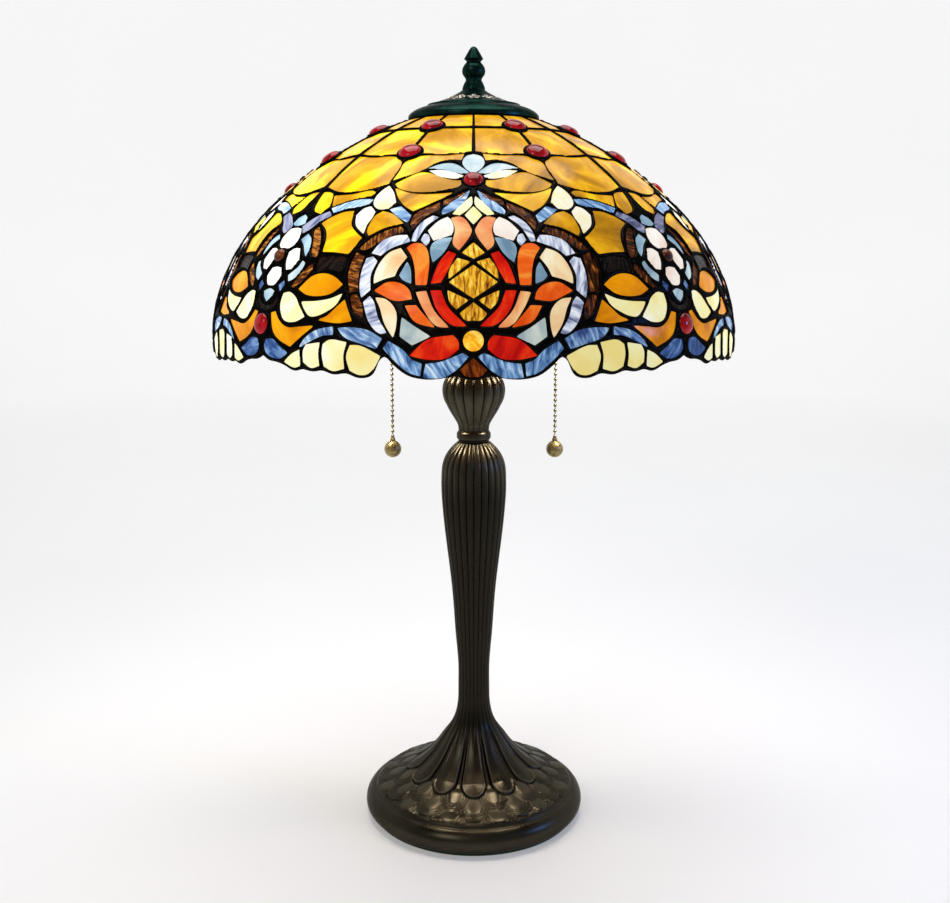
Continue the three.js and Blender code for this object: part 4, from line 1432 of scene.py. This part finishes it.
def build_socket(side, sign):
    cap = smooth_line([(8, 34.4), (8.6, 37), (10, 40), (13.2, 43.6), (16.4, 46.6), (17, 48.6), (17, 49.6)],
                      0.8)
    cap_in = [(15.9, 49.6), (15.2, 47), (12, 44), (7.4, 39), (6.8, 34.4)]
    on_socket(side, sign, "socket_dome", np.vstack([cap, cap_in]), BRASS, "stand", "brass", "socket_cap")
    shell = smooth_line(
        [(16, 50.3), (17, 50.3), (17.2, 51.6), (16.9, 53), (17, 54.5), (17, 78), (17.3, 80), (16.9, 81.6),
         (17, 83), (17.2, 85.2), (16.7, 86), (16, 86)], 0.8, closed=True, corner=40)
    on_socket(side, sign, "socket_sleeve", shell, BRASS, "stand", "brass", "socket_shell", 96)
    guide = smooth_line(
        [(1.9, -16), (2.5, -16), (2.5, -17.4), (4.1, -17.5), (4.2, -18.6), (3, -19.4), (2.8, -22),
         (3.4, -24.4), (4.4, -25.4), (4, -25.9), (2.8, -24.8), (1.9, -22.8)], 0.4, closed=True, corner=40)
    shape = placed(turned(guide, 48), guide_matrix(sign, CHAIN_OUT))
    solid(f"{side}_bell_guide", shape, BRASS, "stand", "brass", f"{side}_chain_guide")


def build_bulb(side, sign):
    body = f"{side}_bulb"
    bulb = smooth_line(
        [(12.6, 86.4), (13, 90), (15.2, 97), (20.4, 106), (25.6, 116), (27.8, 125), (28, 133), (26.4, 142),
         (22, 150.6), (14.5, 157), (6, 159.6), (0, 160)], 1.2)
    envelope = np.vstack([[(0, 86.4)], bulb])
    on_socket(side, sign, "bulb_envelope", envelope, BULB, body, "bulb_glass", "bulb_glass", closed=False)
    thread = [(0, 67), (4.5, 67), (5, 69), (10.8, 70)]
    for i in range(5):
        thread += [(12.1, 71.4 + i * 2.5), (12.9, 72.4 + i * 2.5), (12.1, 73.4 + i * 2.5)]
    thread += [(12.6, 85), (12.2, 86.2), (0, 86.2)]
    on_socket(side, sign, "bulb_screw_cap", thread, STEEL, body, "steel", "bulb_cap", closed=False)


def build_chain(side, sign):
    def hung(name, shape, matrix, material, body, node):
        solid(f"{side}_{name}", placed(shape, matrix), material, f"{side}_{body}", "chain_brass",
              f"{side}_{node}")

    stub = bead_chain(STUB_END + STUB_BEADS * CHAIN_PITCH, STUB_BEADS)
    hung("chain_start", stub, guide_matrix(sign, CHAIN_OUT), CHAIN_BRASS, "pull", "chain_stub")
    hang = (low(f"{side}_chain_upper") + high(f"{side}_chain_upper")) / 2
    at = Matrix.Translation((hang[0], 0, 0))
    upper_top = high(f"{side}_chain_upper")[2]
    lower_top = high(f"{side}_chain_lower")[2]
    hung("chain_run", bead_chain(upper_top, UPPER_BEADS), at, CHAIN_BRASS, "chain", "chain_upper")
    hung("chain_tail", bead_chain(lower_top, LOWER_BEADS), at, CHAIN_BRASS, "chain_end", "chain_lower")
    hung("pull_ball", chain_end(lower_top, LOWER_BEADS), at, BALL_BRASS, "chain_end", "chain_ball")


# ---------------------------------------------------------------- CAD nodes that stay, with better materials
def dress_cad_nodes():
    kept = {
        "base_weight": IRON,
        "base_washer": STEEL, "base_nut": STEEL, "lamp_rod": STEEL, "wheel_locknut": STEEL,
        "right_socket_core": PORCELAIN, "left_socket_core": PORCELAIN,
        "right_switch_cam": BRASS, "left_switch_cam": BRASS,
    }
    for name, material in kept.items():
        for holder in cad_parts[name].material_slots:
            holder.material = material


# ---------------------------------------------------------------- studio
STUDIO_R = 4.5
COVE_R = 1.5
# (metres towards the back, how brightly the studio's surface shines of itself, how pale it is)
STUDIO = ((-1.2, 0.1, 0.3), (-0.3, 0.24, 0.6), (0.6, 0.32, 0.6), (3.6, 0.69, 0.42))


def grey(level):
    return (level, level, level, 1.0)


def build_studio():
    scene = bpy.context.scene
    scene.view_settings.view_transform = "Standard"
    n = Nodes("pale_floor")
    split = n.add("ShaderNodeSeparateXYZ")
    n.link(n.spot(), split.inputs["Vector"])
    back = n.span(split.outputs["Y"], 0, 1, -STUDIO_R, STUDIO_R)
    places = [0.5 + y / STUDIO_R / 2 for y, _, _ in STUDIO]
    n.link(n.ramp(back, [(at, grey(row[1])) for at, row in zip(places, STUDIO)]),
           n.shader.inputs["Emission Color"])
    pale = n.ramp(back, [(at, grey(row[2])) for at, row in zip(places, STUDIO)])
    n.link(n.times(pale, n.span(n.noise(n.spot(), 2, 2.0), 0.98, 1.02)), n.shader.inputs["Base Color"])
    n.set(Emission_Strength=1.0, Roughness=0.7, Specular_IOR_Level=0.1)
    flat_r = STUDIO_R - COVE_R
    turn = np.linspace(0, math.pi / 2, 17)
    cove = np.column_stack([flat_r + COVE_R * np.sin(turn), COVE_R - COVE_R * np.cos(turn)])
    outside = STUDIO_R + 0.1
    profile = np.vstack([[(0, 0)], cove, [(STUDIO_R, 5), (outside, 5), (outside, -0.1), (0, -0.1)]])
    floor = make_object("studio_bowl", *turned(profile / MM, 96, closed=False), [n.material])

    world = bpy.data.worlds.new("studio")
    world.use_nodes = True
    world.node_tree.nodes["Background"].inputs["Color"].default_value = (1, 1, 1, 1)
    world.node_tree.nodes["Background"].inputs["Strength"].default_value = 0.12
    scene.world = world
    for name, place, size, power, colour in (
        ("top_light", (0, 0.3, 2.6), 2.0, 46, "ffffff"),
        ("front_light", (-1.2, -2.0, 1.9), 0.8, 10, "fffcf8"),
        ("window_light", (1.55, -0.5, 0.7), 0.26, 6, "5a90ff"),
    ):
        light = bpy.data.lights.new(name, "AREA")
        light.shape = "SQUARE"
        light.size = size
        light.energy = power
        light.color = srgb(colour)[:3]
        holder = bpy.data.objects.new(name, light)
        holder.location = place
        holder.rotation_euler = (Vector((0, 0, 0.3)) - Vector(place)).to_track_quat("-Z", "Y").to_euler()
        scene.collection.objects.link(holder)


CAMERA_AT = (0.001, -0.920, 0.475)
CAMERA_DIPS = 10.3  # degrees below level
CAMERA_LENS = 43.65


def build_camera():
    camera = bpy.data.cameras.new("camera")
    camera.sensor_width = 36
    camera.lens = CAMERA_LENS
    holder = bpy.data.objects.new("camera", camera)
    holder.location = CAMERA_AT
    holder.rotation_euler = (math.radians(90 - CAMERA_DIPS), 0, 0)
    bpy.context.scene.collection.objects.link(holder)
    bpy.context.scene.camera = holder


build_studio()
build_camera()
build_shade()
build_cap()
build_finial()
build_foot()
build_column()
build_stand_rings()
build_knop()
build_hidden_stand()
for side, sign in SIDES:
    build_socket(side, sign)
    build_bulb(side, sign)
    build_chain(side, sign)
dress_cad_nodes()
